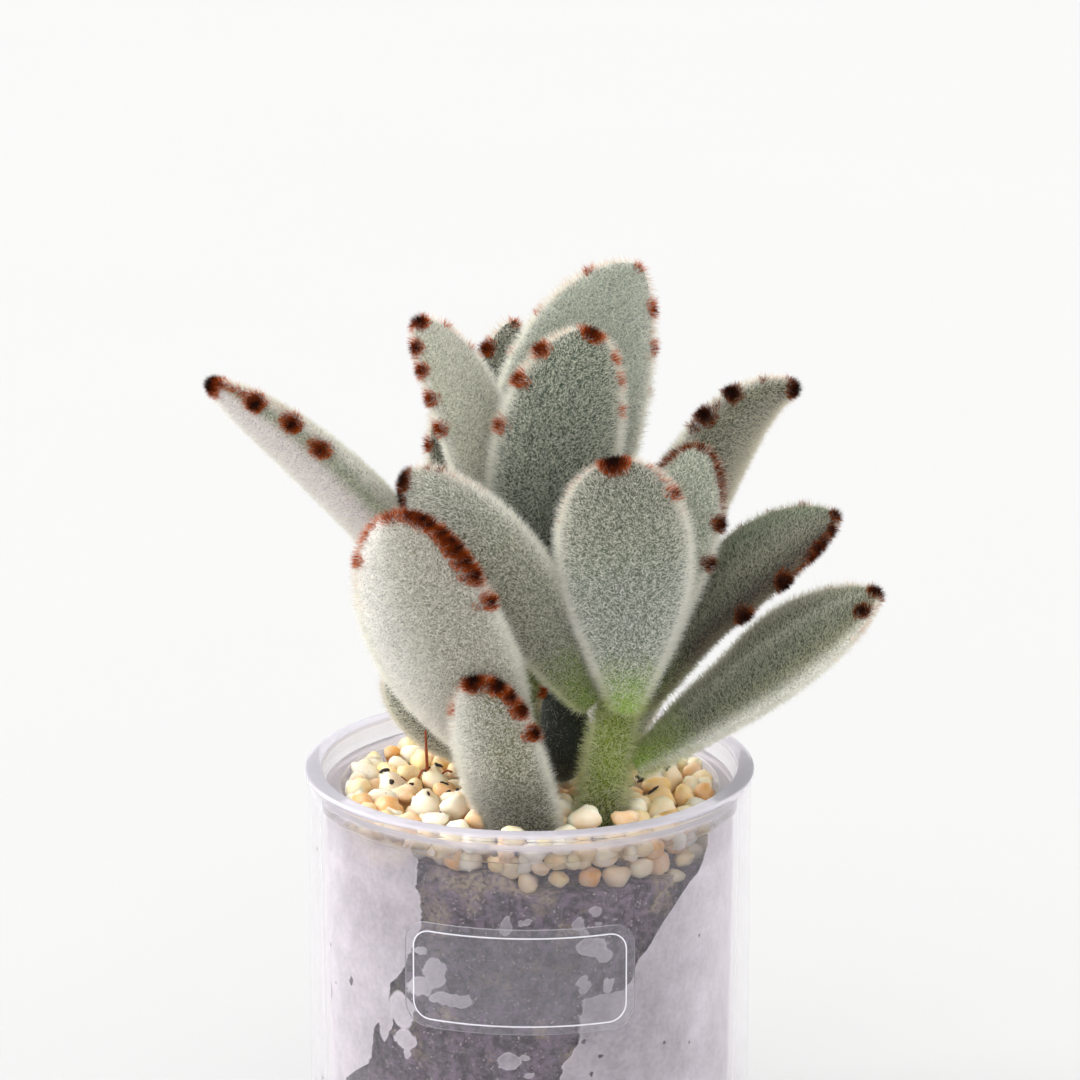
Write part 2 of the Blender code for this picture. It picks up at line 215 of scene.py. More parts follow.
def turned(name, profile, mat):
    """Spins (radius, height) in mm about the cup's axis, down its outer side."""
    points = [(r * MM, 0, z * MM) for r, z in profile]
    piece = hung(name, plain_mesh(name, points, [], [(i, i + 1) for i in range(len(points) - 1)]))
    spin = piece.modifiers.new("turn", "SCREW")
    spin.steps = spin.render_steps = TURNS
    spin.use_merge_vertices = True
    spin.merge_threshold = 0.00001
    settled(piece)
    piece.data.materials.clear()
    piece.data.materials.append(mat)
    smoothed(piece, 35)
    return piece


def arc(r, z, radius, start, end, steps=5):
    """Points of a rounded edge about (r, z), angles counted from outwards to up."""
    turns = [math.radians(start + (end - start) * i / steps) for i in range(steps + 1)]
    return [(r + radius * math.cos(t), z + radius * math.sin(t)) for t in turns]


clear_plastic, start = finish("clear cup plastic")
place = start.place()
height = place.along("Z")
wipe = place.node("ShaderNodeMapping", {"Vector": place, "Scale": WIPE_SCALE})
marks = wipe.noise(1.0, 4.0).above(0.56, 0.3)
specks = (1 - place.dots(150.0).above(0.045, 0.02)) * place.noise(60.0).above(0.56, 0.04)
rim = height.above(CUP_HEIGHT * MM - 0.0005, 0.0003)
lip = height.above((CUP_HEIGHT - DULL_REACH) * MM, 0.0006)
haze = marks * WIPE_HAZE + rim * RIM_HAZE + lip * LIP_HAZE + WALL_HAZE
hazy_surface(start, haze.maths("MAXIMUM", specks), {
    "Base Color": rim.tinted(paint("#FCFAFC"), paint("#F2EFF4")), "Roughness": 0.03, "IOR": 1.22}, {
    "Base Color": specks.tinted(rim.tinted(paint("#E8E4EC"), paint("#D6D2DD")), paint("#2B2422")),
    "Roughness": 0.35})

inside = CUP_RADIUS - CUP_WALL
edge = CUP_RADIUS + CUP_LIP
cup = turned("clear_cup", [(0, CUP_FLOOR), (inside - 1.2, CUP_FLOOR)]
             + arc(inside - 1.2, CUP_FLOOR + 1.2, 1.2, -90, 0)
             + arc(inside + 0.35, CUP_HEIGHT - 0.35, 0.35, 180, 90)
             + arc(edge - 0.4, CUP_HEIGHT - 0.4, 0.4, 90, 0)
             + arc(edge - 0.3, CUP_HEIGHT - CUP_LIP_DROP + 0.3, 0.3, 0, -90, 3)
             + [(CUP_RADIUS, CUP_HEIGHT - CUP_LIP_DROP - 0.25)]
             + arc(CUP_RADIUS - 1, 1, 1, 0, -90) + [(0, 0)], clear_plastic)
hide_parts("cup_outer")
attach(cup, "root")

# Inner liner
# A second clear cup that hangs inside the first on a flat rim. Damp between the two has misted
# its wall to a pale violet-grey, but for one wet patch at the front, with a ragged edge and drops.
LINER_RADIUS, LINER_WALL, LINER_FLOOR, LINER_TOP, LINER_RIM = 29.2, 1.6, 2.0, 63.2, 1.5
FILL_RADIUS = LINER_RADIUS - LINER_WALL - 0.3
# the wet patch's left and right edges: height in mm, then degrees round from the front
WET_LEFT = [(8, -54), (19, -66), (22, -64), (24.6, -57), (26.6, -51), (32.3, -49), (35.8, -43),
            (40.2, -42), (42.3, -38), (45.6, -35), (48.7, -32.5), (50, -30.8), (58, -32.6), (66, -34)]
WET_RIGHT = [(8, 16), (24, 5.5), (27, 8.2), (30.5, 10), (33.4, 13.8), (40.2, 15.3), (40.8, 27.5),
             (42.3, 29.8), (44.8, 31.2), (46.3, 35), (48.9, 38.5), (52.3, 45), (54.6, 50), (55.6, 54),
             (59, 58.5), (66, 58)]
# mist inside the patch, and wet spots outside it: degrees, height, half width, half height
MIST_DROPS = [(-6.6, 51.4, 0.7, 1.3), (13.9, 51.6, 0.9, 0.9), (15.4, 50.2, 0.7, 0.7), (18.9, 51.2, 0.5, 0.5),
              (18.7, 53.4, 0.9, 0.8), (-2.4, 51.9, 0.4, 0.5), (-0.9, 52.0, 0.4, 0.5),
              (-5.5, 30.9, 1.6, 1.2), (-1.0, 31.6, 0.7, 0.5), (0.2, 28.9, 0.6, 0.4),
              (-44.6, 38.4, 1.0, 2.0), (-44.2, 34.2, 1.2, 3.0), (-38.0, 36.5, 2.2, 2.8),
              (-36.6, 32.2, 1.8, 1.4), (-35.8, 30.6, 0.6, 1.2), (-27.0, 43.3, 1.7, 2.2),
              (-31.4, 40.8, 1.9, 1.4), (-22.0, 39.6, 3.0, 1.1),
              (-31.5, 46.2, 1.0, 0.6), (17.5, 48.0, 2.2, 1.4), (21.5, 46.6, 1.2, 0.9), (15.0, 42.3, 0.8, 1.3),
              (22.0, 41.8, 0.9, 1.1)]
WET_DROPS = [(-75.7, 33.4, 0.5, 1.9), (-59.3, 38.0, 0.5, 0.8), (-75.5, 40.9, 0.4, 0.5),
             (-69.8, 36.0, 0.2, 0.3), (19.6, 31.0, 0.4, 0.4), (16.9, 28.3, 0.4, 0.4),
             (15.0, 33.5, 0.4, 0.4), (41.2, 31.4, 0.25, 0.3), (51.0, 30.0, 0.3, 0.3),
             (54.0, 45.5, 0.25, 0.3), (-30.4, 39.0, 1.0, 0.7)]
# how thick the mist is: degrees round from the front, then its cover
MIST_COVER = [(-180, 0.75), (-90, 1.0), (-73, 0.88), (-62, 0.8), (-47, 0.68), (-33, 0.58), (-5, 0.44),
              (30, 0.5), (44, 0.66), (57, 0.86), (79, 1.0), (95, 1.0), (180, 0.75)]
# how dull the plastic is in the wet patch, at its beaded edge and on the rim
DAMP_HAZE, BEAD_HAZE, LINER_RIM_HAZE = 0.05, 1.2, 0.5

misted, start = finish("misted clear liner")
place = start.place()
x, y, height = place.along("X"), place.along("Y"), place.along("Z") / MM
ragged = place.noise(420.0, 5.0, Roughness=0.65) - 0.5
turn = x.maths("ARCTAN2", y * -1.0) * (180 / math.pi)
wide = turn + ragged * 6.0
tall = height + ragged * 2.2


def follows(value, points):
    """A value read off straight lines through the points (position, value)."""
    low, high = min(p[1] for p in points), max(p[1] for p in points)
    first, last = points[0][0], points[-1][0]
    bend = start.tree.nodes.new("ShaderNodeFloatCurve")
    curve = bend.mapping.curves[0]
    places = [((at - first) / (last - first), (now - low) / (high - low)) for at, now in points]
    curve.points[0].location, curve.points[1].location = places[0], places[-1]
    for place_now in places[1:-1]:
        curve.points.new(*place_now)
    for point in curve.points:
        point.handle_type = "VECTOR"
    bend.mapping.update()
    start.tree.links.new(((value - first) / (last - first)).socket, bend.inputs["Value"])
    return Wire(start.tree, bend.outputs[0]) * (high - low) + low


def drop(angle, z, half_width, half_height):
    """1 in an oval spot on the wall and 0 outside it."""
    across = (wide - angle) / (half_width * 180 / math.pi / LINER_RADIUS)
    along = (tall - z) / half_height
    return 1 - (across * across + along * along).above(1.0, 0.5)


wet = (wide - follows(tall, WET_LEFT)).above(0, 0.8) * (follows(tall, WET_RIGHT) - wide).above(0, 0.8)
for spot in MIST_DROPS:
    wet = wet * (1 - drop(*spot))
for spot in WET_DROPS:
    wet = wet.maths("MAXIMUM", drop(*spot))
rim = height.above(LINER_TOP - 0.3, 0.3)
outer_face = (x * x + y * y).above(((LINER_RADIUS - 0.8) * MM) ** 2, 1e-7)
grain, patchy, fine = place.noise(90.0, 6.0), place.noise(320.0, 5.0), place.noise(1500.0, 3.0)
beads = wet * (1 - wet) * BEAD_HAZE
thin = 1 - height.above(58.0, 5.0) * 0.3 - height.above(61.8, 0.8) * 0.66
cover = (1 - wet) * thin * (follows(turn, MIST_COVER) + (grain - 0.5) * 0.4 + (patchy - 0.5) * 0.35
                            + (fine - 0.5) * 0.3)
fog = (cover + beads + wet * DAMP_HAZE) * outer_face * (1 - rim) + rim * LINER_RIM_HAZE
hazy_surface(start, fog, {"Base Color": paint("#FAF8FA"), "Roughness": 0.03, "IOR": 1.22}, {
    "Base Color": grain.tinted(paint("#E6DEE6"), paint("#F6F1F6")), "Roughness": 0.5})

base = CUP_FLOOR + 0.3
inside = LINER_RADIUS - LINER_WALL
rim_edge = CUP_RADIUS - CUP_WALL - 0.3
liner = turned("misted_liner", [(0, base + LINER_FLOOR), (inside - 1.2, base + LINER_FLOOR)]
               + arc(inside - 1.2, base + LINER_FLOOR + 1.2, 1.2, -90, 0)
               + arc(inside + 0.3, LINER_TOP - 0.3, 0.3, 180, 90)
               + arc(rim_edge - 0.3, LINER_TOP - 0.3, 0.3, 90, 0)
               + arc(rim_edge - 0.8, LINER_TOP - LINER_RIM, 0.8, 0, -70, 6)
               + arc(LINER_RADIUS - 1.5, base + 1.5, 1.5, 0, -90) + [(0, base)], misted)
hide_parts("liner")
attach(liner, "root")

# Label
# A rounded oblong of clear film stuck to the front of the cup, with a thin white border line
# printed on it. The panel inside the border is bare.
LABEL_WIDTH, LABEL_HEIGHT, LABEL_CORNER, LABEL_THICKNESS = 34.0, 15.8, 3.4, 0.3
LABEL_TURN, LABEL_CENTRE, LABEL_LIFT = -2.6, 44.1, 0.35
BORDER_INSET, BORDER_WIDTH, BORDER_THICKNESS = 1.15, 0.2, 0.03
LABEL_STRIPS, CORNER_STEPS = 34, 8


def oblong(width, tall, corner):
    """The outline of a rounded oblong in mm, counter-clockwise."""
    outline = []
    for sx, sz, first in ((1, -1, -90), (1, 1, 0), (-1, 1, 90), (-1, -1, 180)):
        for step in range(CORNER_STEPS + 1):
            a = math.radians(first + step * 90 / CORNER_STEPS)
            outline.append((sx * (width / 2 - corner) + corner * math.cos(a),
                            sz * (tall / 2 - corner) + corner * math.sin(a)))
    return outline


def wrapped(name, mesh, lift, thickness, mat, edge_mat=None):
    """Cuts a flat mesh into strips, wraps it round the cup's front and gives it a thickness."""
    work = bmesh.new()
    work.from_mesh(mesh)
    for i in range(1, LABEL_STRIPS):
        x_cut = (i / LABEL_STRIPS - 0.5) * LABEL_WIDTH * MM
        bmesh.ops.bisect_plane(work, geom=work.verts[:] + work.edges[:] + work.faces[:],
                               plane_co=(x_cut, 0, 0), plane_no=(1, 0, 0), dist=1e-7)
    radius = (CUP_RADIUS + lift) * MM
    for v in work.verts:
        a = v.co.x / radius + math.radians(LABEL_TURN)
        v.co = (radius * math.sin(a), -radius * math.cos(a), v.co.z + LABEL_CENTRE * MM)
    work.normal_update()
    work.to_mesh(mesh)
    work.free()
    piece = hung(name, mesh, mat)
    sheet = piece.modifiers.new("thickness", "SOLIDIFY")
    sheet.thickness = thickness * MM
    sheet.offset = 1
    if edge_mat:
        mesh.materials.append(edge_mat)
        sheet.material_offset_rim = 1
    settled(piece)
    smoothed(piece, 40)
    return piece


def clear_film(name, gloss, white, uneven, least):
    """Clear film with a whitish haze on it, at least as strong as least."""
    film, start = finish(name)
    cloud = start.place().noise(160.0, 4.0)
    hazy_surface(start, cloud * uneven + least, {
        "Base Color": paint("#FDFCFE"), "Roughness": gloss, "IOR": 1.18}, {
        "Base Color": paint(white), "Roughness": 0.4})
    return film


film = clear_film("clear label film", 0.05, "#E4E1EA", 0.06, 0.025)
cut_edge = clear_film("cut edge of the label film", 0.1, "#F4F1F8", 0.2, 0.3)
ink, start = finish("white border ink")
dabs = start.place().noise(900.0)
surface(start, {"Base Color": dabs.tinted(paint("#D6D3DC"), paint("#F4F2F8")), "Roughness": 0.5})

outline = [(u * MM, 0, v * MM) for u, v in oblong(LABEL_WIDTH, LABEL_HEIGHT, LABEL_CORNER)]
label = wrapped("label_film", plain_mesh("label_film", outline, [tuple(range(len(outline)))]),
                LABEL_LIFT, LABEL_THICKNESS, film, cut_edge)
border_wide, border_high = LABEL_WIDTH - 2 * BORDER_INSET, LABEL_HEIGHT - 2 * BORDER_INSET
corner = LABEL_CORNER - BORDER_INSET * 0.6
outer = oblong(border_wide, border_high, corner)
inner = oblong(border_wide - 2 * BORDER_WIDTH, border_high - 2 * BORDER_WIDTH, corner - BORDER_WIDTH)
count = len(outer)
ring = [(u * MM, 0, v * MM) for u, v in outer + inner]
ring_faces = [(i, (i + 1) % count, count + (i + 1) % count, count + i) for i in range(count)]
border = wrapped("label_border", plain_mesh("label_border", ring, ring_faces),
                 LABEL_LIFT + LABEL_THICKNESS + 0.005, BORDER_THICKNESS, ink)
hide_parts("label")
for piece in (label, border):
    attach(piece, "root")

# Soil
# Moist dark peat, packed against the liner's wall, with pale grains and crumbs of bark in it.
# Its top is uneven under the gravel.
SOIL_BOTTOM, SOIL_TOP = CUP_FLOOR + 0.3 + LINER_FLOOR + 0.3, 55.7
SOIL_ROWS, SOIL_TURNS, SOIL_ROUGH = 48, 160, 0.22
# how low the pebbles reach behind the wall: degrees round from the front, then height in mm
PEBBLE_LINE = [(-180, 57), (-90, 56.5), (-54, 56), (-34, 59.6), (-20, 58.6), (-13, 59.8),
               (-6, 58.6), (1, 55.2), (11, 56), (20, 55), (28, 53.2), (42, 55.6), (54, 54), (90, 56),
               (180, 57)]


def pebble_line(a):
    """How low the pebbles reach in mm, at an angle a in radians about the cup's axis."""
    round_front = (math.degrees(a) + 90 + 180) % 360 - 180
    return float(np.interp(round_front, *zip(*PEBBLE_LINE)))


earth, start = finish("moist dark soil")
place = start.place()
clods = place.noise(700.0, 8.0, Roughness=0.7)
pale = (1 - place.dots(1900.0).above(0.3, 0.2)) * place.noise(900.0).above(0.57, 0.06)
near_top = place.along("Z").above(0.049, 0.012)
crumbly = place.noise(1500.0, 3.0).above(0.46, 0.24)
dusty = (place.noise(150.0, 4.0) + near_top * 0.1).above(0.64, 0.12) * crumbly
dark = clods.above(0.5, 0.2).tinted(paint("#2C212E"), paint("#8C7B8E"))
dark = (pale * 0.85).tinted(dark, paint("#D8CCC8"))
dark = (dusty * 0.9).tinted(dark, paint("#C2B294"))
surface(start, {"Base Color": dark, "Roughness": clods * 0.3 + 0.6, "Normal": clods.bumps(0.6, 0.0006)})

rng = random.Random(5)
soil_points, soil_faces = [], []
noise_at = [[rng.uniform(-1, 1) for _ in range(SOIL_TURNS)] for _ in range(SOIL_ROWS)]
for row in range(SOIL_ROWS):
    up_wall = row / (SOIL_ROWS - 1)
    for step in range(SOIL_TURNS):
        a = 2 * math.pi * step / SOIL_TURNS
        top = max(SOIL_TOP, pebble_line(a) - 0.4) - 0.3
        z = SOIL_BOTTOM + (top - SOIL_BOTTOM) * up_wall
        r = FILL_RADIUS - 0.45 + SOIL_ROUGH * noise_at[row][step]
        r -= 1.2 * max(0.0, 1 - (z - SOIL_BOTTOM) / 1.5) ** 2
        soil_points.append((r * math.cos(a) * MM, r * math.sin(a) * MM, z * MM))
for row in range(SOIL_ROWS - 1):
    for step in range(SOIL_TURNS):
        a, b = row * SOIL_TURNS + step, row * SOIL_TURNS + (step + 1) % SOIL_TURNS
        soil_faces.append((a, b, b + SOIL_TURNS, a + SOIL_TURNS))
for row, z in ((0, SOIL_BOTTOM), (SOIL_ROWS - 1, SOIL_TOP - 0.6)):
    hub = len(soil_points)
    soil_points.append((0, 0, z * MM))
    for step in range(SOIL_TURNS):
        a, b = row * SOIL_TURNS + step, row * SOIL_TURNS + (step + 1) % SOIL_TURNS
        soil_faces.append((hub, b, a) if row == 0 else (hub, a, b))
soil = hung("packed_soil", plain_mesh("packed_soil", soil_points, soil_faces), earth)
soil.data.shade_smooth()
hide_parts("soil")
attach(soil, "root")

# Stems
# Two short fleshy stems, yellow-green under long pale hairs. Each is drawn through a few
# points up its middle, with the radius there.
STEMS = {
    "front": ([(9.6, -13.5, 50), (10.1, -13.5, 63), (12.3, -13.0, 76), (13.6, -11.0, 86),
               (13.2, -8.0, 92)], [2.2, 3.2, 2.8, 2.3, 1.3]),
    "back": ([(1.5, -2.0, 50), (1.0, -2.0, 63), (-0.6, -2.2, 80), (0.2, -2.6, 90),
              (0.4, -2.4, 93)], [1.8, 2.5, 2.3, 1.9, 1.2]),
}
# points round a stem, rings up it, how rippled it is, and the height where its hairs begin
STEM_AROUND, STEM_RINGS, STEM_RIPPLE, STEM_BARE = 28, 64, 0.03, 60.5
STEM_HAIR, STEM_FLESH = "#F0F0CC", {"front": "#6C7C24", "back": "#7E8F4C"}
# how a mesh keeps values with one, three or four parts
LAYERS = {1: ("FLOAT", "value"), 3: ("FLOAT_VECTOR", "vector"), 4: ("FLOAT_COLOR", "color")}


def unit(v):
    """Vectors brought to length 1."""
    v = np.asarray(v, float)
    return v / np.linalg.norm(v, axis=-1, keepdims=True)


def heading(compass, tilt):
    """The direction at an angle from +X towards +Y and an angle above level, both in degrees."""
    a, e = math.radians(compass), math.radians(tilt)
    return np.array([math.cos(e) * math.cos(a), math.cos(e) * math.sin(a), math.sin(e)])


def lofted(name, rings, foot, tip, mat):
    """Skins a run of rings in mm, closed by a fan at each end."""
    around = len(rings[0])
    points = [p * MM for ring_now in rings for p in ring_now] + [foot * MM, tip * MM]
    faces = []
    for r in range(len(rings) - 1):
        for j in range(around):
            a, b = r * around + j, r * around + (j + 1) % around
            faces.append((a, a + around, b + around, b))
    last = (len(rings) - 1) * around
    for j in range(around):
        faces.append((len(points) - 2, j, (j + 1) % around))
        faces.append((len(points) - 1, last + (j + 1) % around, last + j))
    piece = hung(name, plain_mesh(name, points, faces), mat)
    piece.data.shade_smooth()
    return piece


def painted(piece, **fields):
    """Stores numbers, directions or colours on a piece's points."""
    for name, values in fields.items():
        values = np.asarray(values, np.float32)
        kind, slot_name = LAYERS[1 if values.ndim == 1 else values.shape[1]]
        layer = piece.data.attributes.new(name, kind, "POINT")
        layer.data.foreach_set(slot_name, values.ravel())


flesh, start = finish("fleshy skin under the felt")
place = start.place()
skin = start.kept("flesh")
cells, blotch = place.noise(3400.0), place.noise(190.0, 3.0)
shade = cells.above(0.5, 0.36) * 0.9 + (blotch - 0.5) * 0.4 + 0.5
skin = skin.node("ShaderNodeVectorMath", {0: skin, "Scale": shade}, operation="SCALE")
surface(start, {"Base Color": skin, "Roughness": blotch * 0.2 + 0.7, "Normal": cells.bumps(0.5, 0.0002),
                "Sheen Weight": 0.25})

down, start = finish("fine silver hairs")
lit = start.node("ShaderNodeBsdfPrincipled", {"Base Color": start.kept("tone"), "Roughness": 0.6})
through = start.node("ShaderNodeBsdfTranslucent", {"Color": paint("#F2F0E2")})
surface(start, start.node("ShaderNodeMixShader", {0: 0.45, 1: lit, 2: through}))

bristle, start = finish("rust-brown tuft hairs")
surface(start, {"Base Color": start.kept("tone"), "Roughness": 0.8, "Specular IOR Level": 0.15})


def blade(name, points, faces):
    """One hair of unit height, kept out of the picture, to be strewn by a tree."""
    piece = hung(name, plain_mesh(name, points, faces))
    piece.hide_render = True
    return piece


short_hair = blade("short hair", [(-0.5, 0, 0), (0.5, 0, 0), (0.1, 0.25, 1)], [(0, 1, 2)])
bent_hair = blade("bent hair", [(-0.5, 0, 0), (0.5, 0, 0), (0.15, 0.1, 0.55), (0.5, 0.35, 1)],
                  [(0, 1, 2), (1, 3, 2)])


def group(name, **inputs):
    """A bare Geometry Nodes tree, a Wire that starts it and its inputs, given by kind."""
    tree = bpy.data.node_groups.new(name, "GeometryNodeTree")
    for kind, names in inputs.items():
        for socket_name in names:
            tree.interface.new_socket(name=socket_name, in_out="INPUT", socket_type="NodeSocket" + kind)
    tree.interface.new_socket(name="Made", in_out="OUTPUT", socket_type="NodeSocketGeometry")
    source = tree.nodes.new("NodeGroupInput")
    return Wire(tree), {s.name: Wire(tree, s) for s in source.outputs if s.name}


def group_end(first, made):
    """Leads a finished socket out of its tree."""
    end = first.tree.nodes.new("NodeGroupOutput")
    first.tree.links.new(made, end.inputs[0])


def stored(first, name, kind="FLOAT"):
    """What a mesh keeps under a name on its points."""
    return first.node("GeometryNodeInputNamedAttribute", {"Name": name}, data_type=kind)


def grown(piece, tree, values):
    """Runs a tree on a piece with these inputs, and keeps the result as its mesh."""
    run_now = piece.modifiers.new(tree.name, "NODES")
    run_now.node_group = tree
    for item in tree.interface.items_tree:
        if item.in_out == "INPUT" and item.name in values:
            run_now[item.identifier] = values[item.name]
    settled(piece)


def felt_tree():
    """Hairs over a skin: a felt that follows its flow, and denser tufts where it is marked."""
    coats = ("Felt", "Tuft", "Margin")
    first, given = group(
        "felt and tufts", Geometry=["Skin"], Object=[coat_name + " Hair" for coat_name in coats],
        Material=[coat_name + " Finish" for coat_name in coats],
        Float=[coat_name + size for coat_name in coats for size in (" Density", " Length", " Width")]
        + ["Lean", "Ruffle"], Int=["Seed"], Color=["White", "Green", "Blush", "Fringe", "Rust", "Core"])

    def field(name, kind="FLOAT"):
        return stored(first, name, kind)

    def chance(salt, low=0.0, high=1.0):
        return first.node("FunctionNodeRandomValue", {"Min": low, "Max": high,
                                                      "Seed": given["Seed"] + salt}, data_type="FLOAT")

    def vectors(operation, *values, **extra):
        sockets = dict(enumerate(values))
        sockets.update(extra)
        return first.node("ShaderNodeVectorMath", sockets, operation=operation)

    def coat(kind, mask, flow, upright, lean, ruffle, salt, colour):
        """One kind of hair, as dense as mask says, that leans along flow and is ruffled at random."""
        hair, density, length, width, dress = [kind + tail for tail in (
            " Hair", " Density", " Length", " Width", " Finish")]
        spread = first.node("GeometryNodeDistributePointsOnFaces", {
            "Mesh": given["Skin"], "Density": given[density] * field(mask),
            "Seed": given["Seed"] + salt}, distribute_method="RANDOM")
        normal = spread.beside("Normal")
        jitter = first.node("FunctionNodeRandomValue", {
            "Min": (-1.0, -1.0, -1.0), "Max": (1.0, 1.0, 1.0), "Seed": given["Seed"] + salt + 1},
            data_type="FLOAT_VECTOR")
        way = vectors("ADD", vectors("SCALE", normal, Scale=upright),
                      vectors("SCALE", field(flow, "FLOAT_VECTOR"), Scale=lean))
        way = vectors("ADD", way, vectors("SCALE", jitter, Scale=ruffle))
        stood = first.node("FunctionNodeAlignRotationToVector", {"Vector": way}, axis="Z")
        spin = first.node("FunctionNodeEulerToRotation", {
            0: first.node("ShaderNodeCombineXYZ", {"Z": chance(salt + 2, 0.0, 6.283)})})
        stood = first.node("FunctionNodeRotateRotation", {0: stood, 1: spin}, rotation_space="LOCAL")
        tall = given[length] * chance(salt + 3, 0.65, 1.15) * field("pile")
        size = first.node("ShaderNodeCombineXYZ", {"X": given[width], "Y": given[width] * 3.0,
                                                   "Z": tall})
        shape = first.node("GeometryNodeObjectInfo", {"Object": given[hair]}, out="Geometry")
        hairs = first.node("GeometryNodeInstanceOnPoints", {
            "Points": spread, "Instance": shape, "Rotation": stood, "Scale": size})
        toned = first.node("GeometryNodeStoreNamedAttribute", {
            "Geometry": hairs, "Name": "tone", "Value": colour(salt + 4)},
            data_type="FLOAT_COLOR", domain="INSTANCE")
        real = first.node("GeometryNodeRealizeInstances", {0: toned})
        return first.node("GeometryNodeSetMaterial", {"Geometry": real, "Material": given[dress]})

    def stepped(colour, salt):
        """The colour in four shades, one to a hair."""
        shade_now = chance(salt, 0.0, 3.99).maths("FLOOR") * 0.12 + 0.72
        return vectors("SCALE", colour, Scale=shade_now)

    def either(odds, salt, low, high):
        """One of two colours, high as often as the odds say."""
        return chance(salt).maths("LESS_THAN", odds).tinted(low, high)

    def felt_colour(salt):
        tone_now = either(field("green"), salt, field("hair", "FLOAT_COLOR"), given["Green"])
        return stepped(either(field("blush"), salt + 1, tone_now, given["Blush"]), salt + 2)

    def margin_colour(salt):
        return stepped(either(field("blush"), salt, given["White"], given["Blush"]), salt + 2)

    def tuft_colour(salt):
        """Near-black in the tuft's middle, partly painted shade, then rust, then orange, with the bounds
        mixed.
        """
        level = field("core") + chance(salt, -0.2, 0.2)
        brown = level.maths("GREATER_THAN", 0.44).tinted(given["Fringe"], given["Rust"])
        return stepped(level.maths("GREATER_THAN", 0.86).tinted(brown, given["Core"]), salt + 2)

    felt = coat("Felt", "fur", "flow", 0.8, given["Lean"], given["Ruffle"], 10, felt_colour)
    tufts = coat("Tuft", "tuft", "splay", 0.8, 1.0, 0.6, 40, tuft_colour)
    margin = coat("Margin", "margin", "outward", 0.5, 1.0, 0.5, 70, margin_colour)
    joined = first.tree.nodes.new("GeometryNodeJoinGeometry")
    for coat_now in (felt, tufts, margin):
        first.tree.links.new(coat_now.socket, joined.inputs[0])
    group_end(first, joined.outputs[0])
    return first.tree


felt_nodes = felt_tree()
WHITE, GREENISH, BLUSH = "#FFFFFC", "#BECB78", "#DDA084"
# tuft colours: orange fringe, rust and a near-black middle that is partly dark roots and partly painted shade
FRINGE, RUST, CORE = "#CC6210", "#8E3805", "#2A0E06"
THINNED = 1.0


def felted(skin_piece, name, slot_name, **wanted):
    """Grows the felt on a skin and keeps it as a piece of its own."""
    coat_piece = hung(name, skin_piece.data)
    values = {"Felt Hair": short_hair, "Tuft Hair": bent_hair, "Margin Hair": short_hair,
              "Felt Finish": down, "Tuft Finish": bristle, "Margin Finish": down, "White": paint(WHITE),
              "Green": paint(GREENISH), "Blush": paint(BLUSH), "Fringe": paint(FRINGE),
              "Rust": paint(RUST), "Core": paint(CORE)}
    values.update(wanted)
    for key in ("Felt Density", "Tuft Density", "Margin Density"):
        values[key] = wanted.get(key, 0.0) * THINNED
    grown(coat_piece, felt_nodes, values)
    hairs = coat_piece.data
    hairs.name = name
    for layer in [a.name for a in hairs.attributes if not a.is_internal and not a.is_required]:
        if layer not in ("tone", "material_index"):
            hairs.attributes.remove(hairs.attributes[layer])
    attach(coat_piece, "root")


def rounded_line(levels, heights, values):
    """Values read off a line through its knots, with the corners rounded off."""
    reach = 6
    soft = np.pad(np.interp(levels, heights, values), reach, mode="reflect", reflect_type="odd")
    weights = np.hanning(2 * reach + 3)[1:-1]
    return np.convolve(soft, weights / weights.sum(), "same")[reach:-reach]


def stem_piece(which):
    """Makes a stem's skin, and the hairs on it."""
    points, radii = STEMS[which]
    knots = np.array(points, float)
    heights = knots[:, 2]
    levels = np.linspace(heights[0], heights[-1], STEM_RINGS)
    middle = np.stack([rounded_line(levels, heights, knots[:, i]) for i in range(3)], -1)
    thick = rounded_line(levels, heights, radii)
    ahead = unit(np.gradient(middle, axis=0))
    side = unit(np.cross(ahead, (0, 1, 0)))
    front = np.cross(ahead, side)
    angles = np.linspace(0, 2 * np.pi, STEM_AROUND, endpoint=False)
    rings = []
    for i in range(STEM_RINGS):
        r = thick[i] * (1 + STEM_RIPPLE * np.sin(3 * angles + i * 0.25))
        rings.append(middle[i] + (r * np.cos(angles))[:, None] * side[i]
                     - (r * np.sin(angles))[:, None] * front[i])
    stem = lofted("stem_skin_" + which, rings, middle[0], middle[-1], flesh)

    z_of = np.empty(len(stem.data.vertices) * 3)
    stem.data.vertices.foreach_get("co", z_of)
    z_of = z_of.reshape(-1, 3)[:, 2] / MM
    upwards = np.concatenate([np.repeat(ahead, STEM_AROUND, axis=0), ahead[:1], ahead[-1:]])
    # painted shade: the stem's hairs and flesh are darkened towards the gravel, where shade falls at its foot
    foot_painted_shade = np.interp(z_of, [64, 70], [0.35, 1.0])[:, None] * (1, 1, 1, 0) + (0, 0, 0, 1)
    none = np.zeros(len(z_of))
    painted(stem, flow=upwards, splay=upwards, fur=(z_of > STEM_BARE) * 1.0, tuft=none, core=none,
            blush=none, green=np.interp(z_of, [60, 72, 92], [0.5, 0.8, 0.7]), margin=none,
            outward=upwards, hair=np.array(paint(STEM_HAIR)) * foot_painted_shade,
            pile=np.interp(z_of, [60, 66, 92], [0.7, 1.0, 1.1]),
            flesh=np.array(paint(STEM_FLESH[which])) * foot_painted_shade)
    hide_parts("stem_" + which)
    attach(stem, "root")
    felted(stem, "stem_felt_" + which, "green_stem", **{
        "Felt Hair": bent_hair, "Felt Density": 17e6, "Felt Length": 0.0023, "Felt Width": 0.00009,
        "Lean": 0.25, "Ruffle": 0.75, "Seed": 3})


for which in STEMS:
    stem_piece(which)
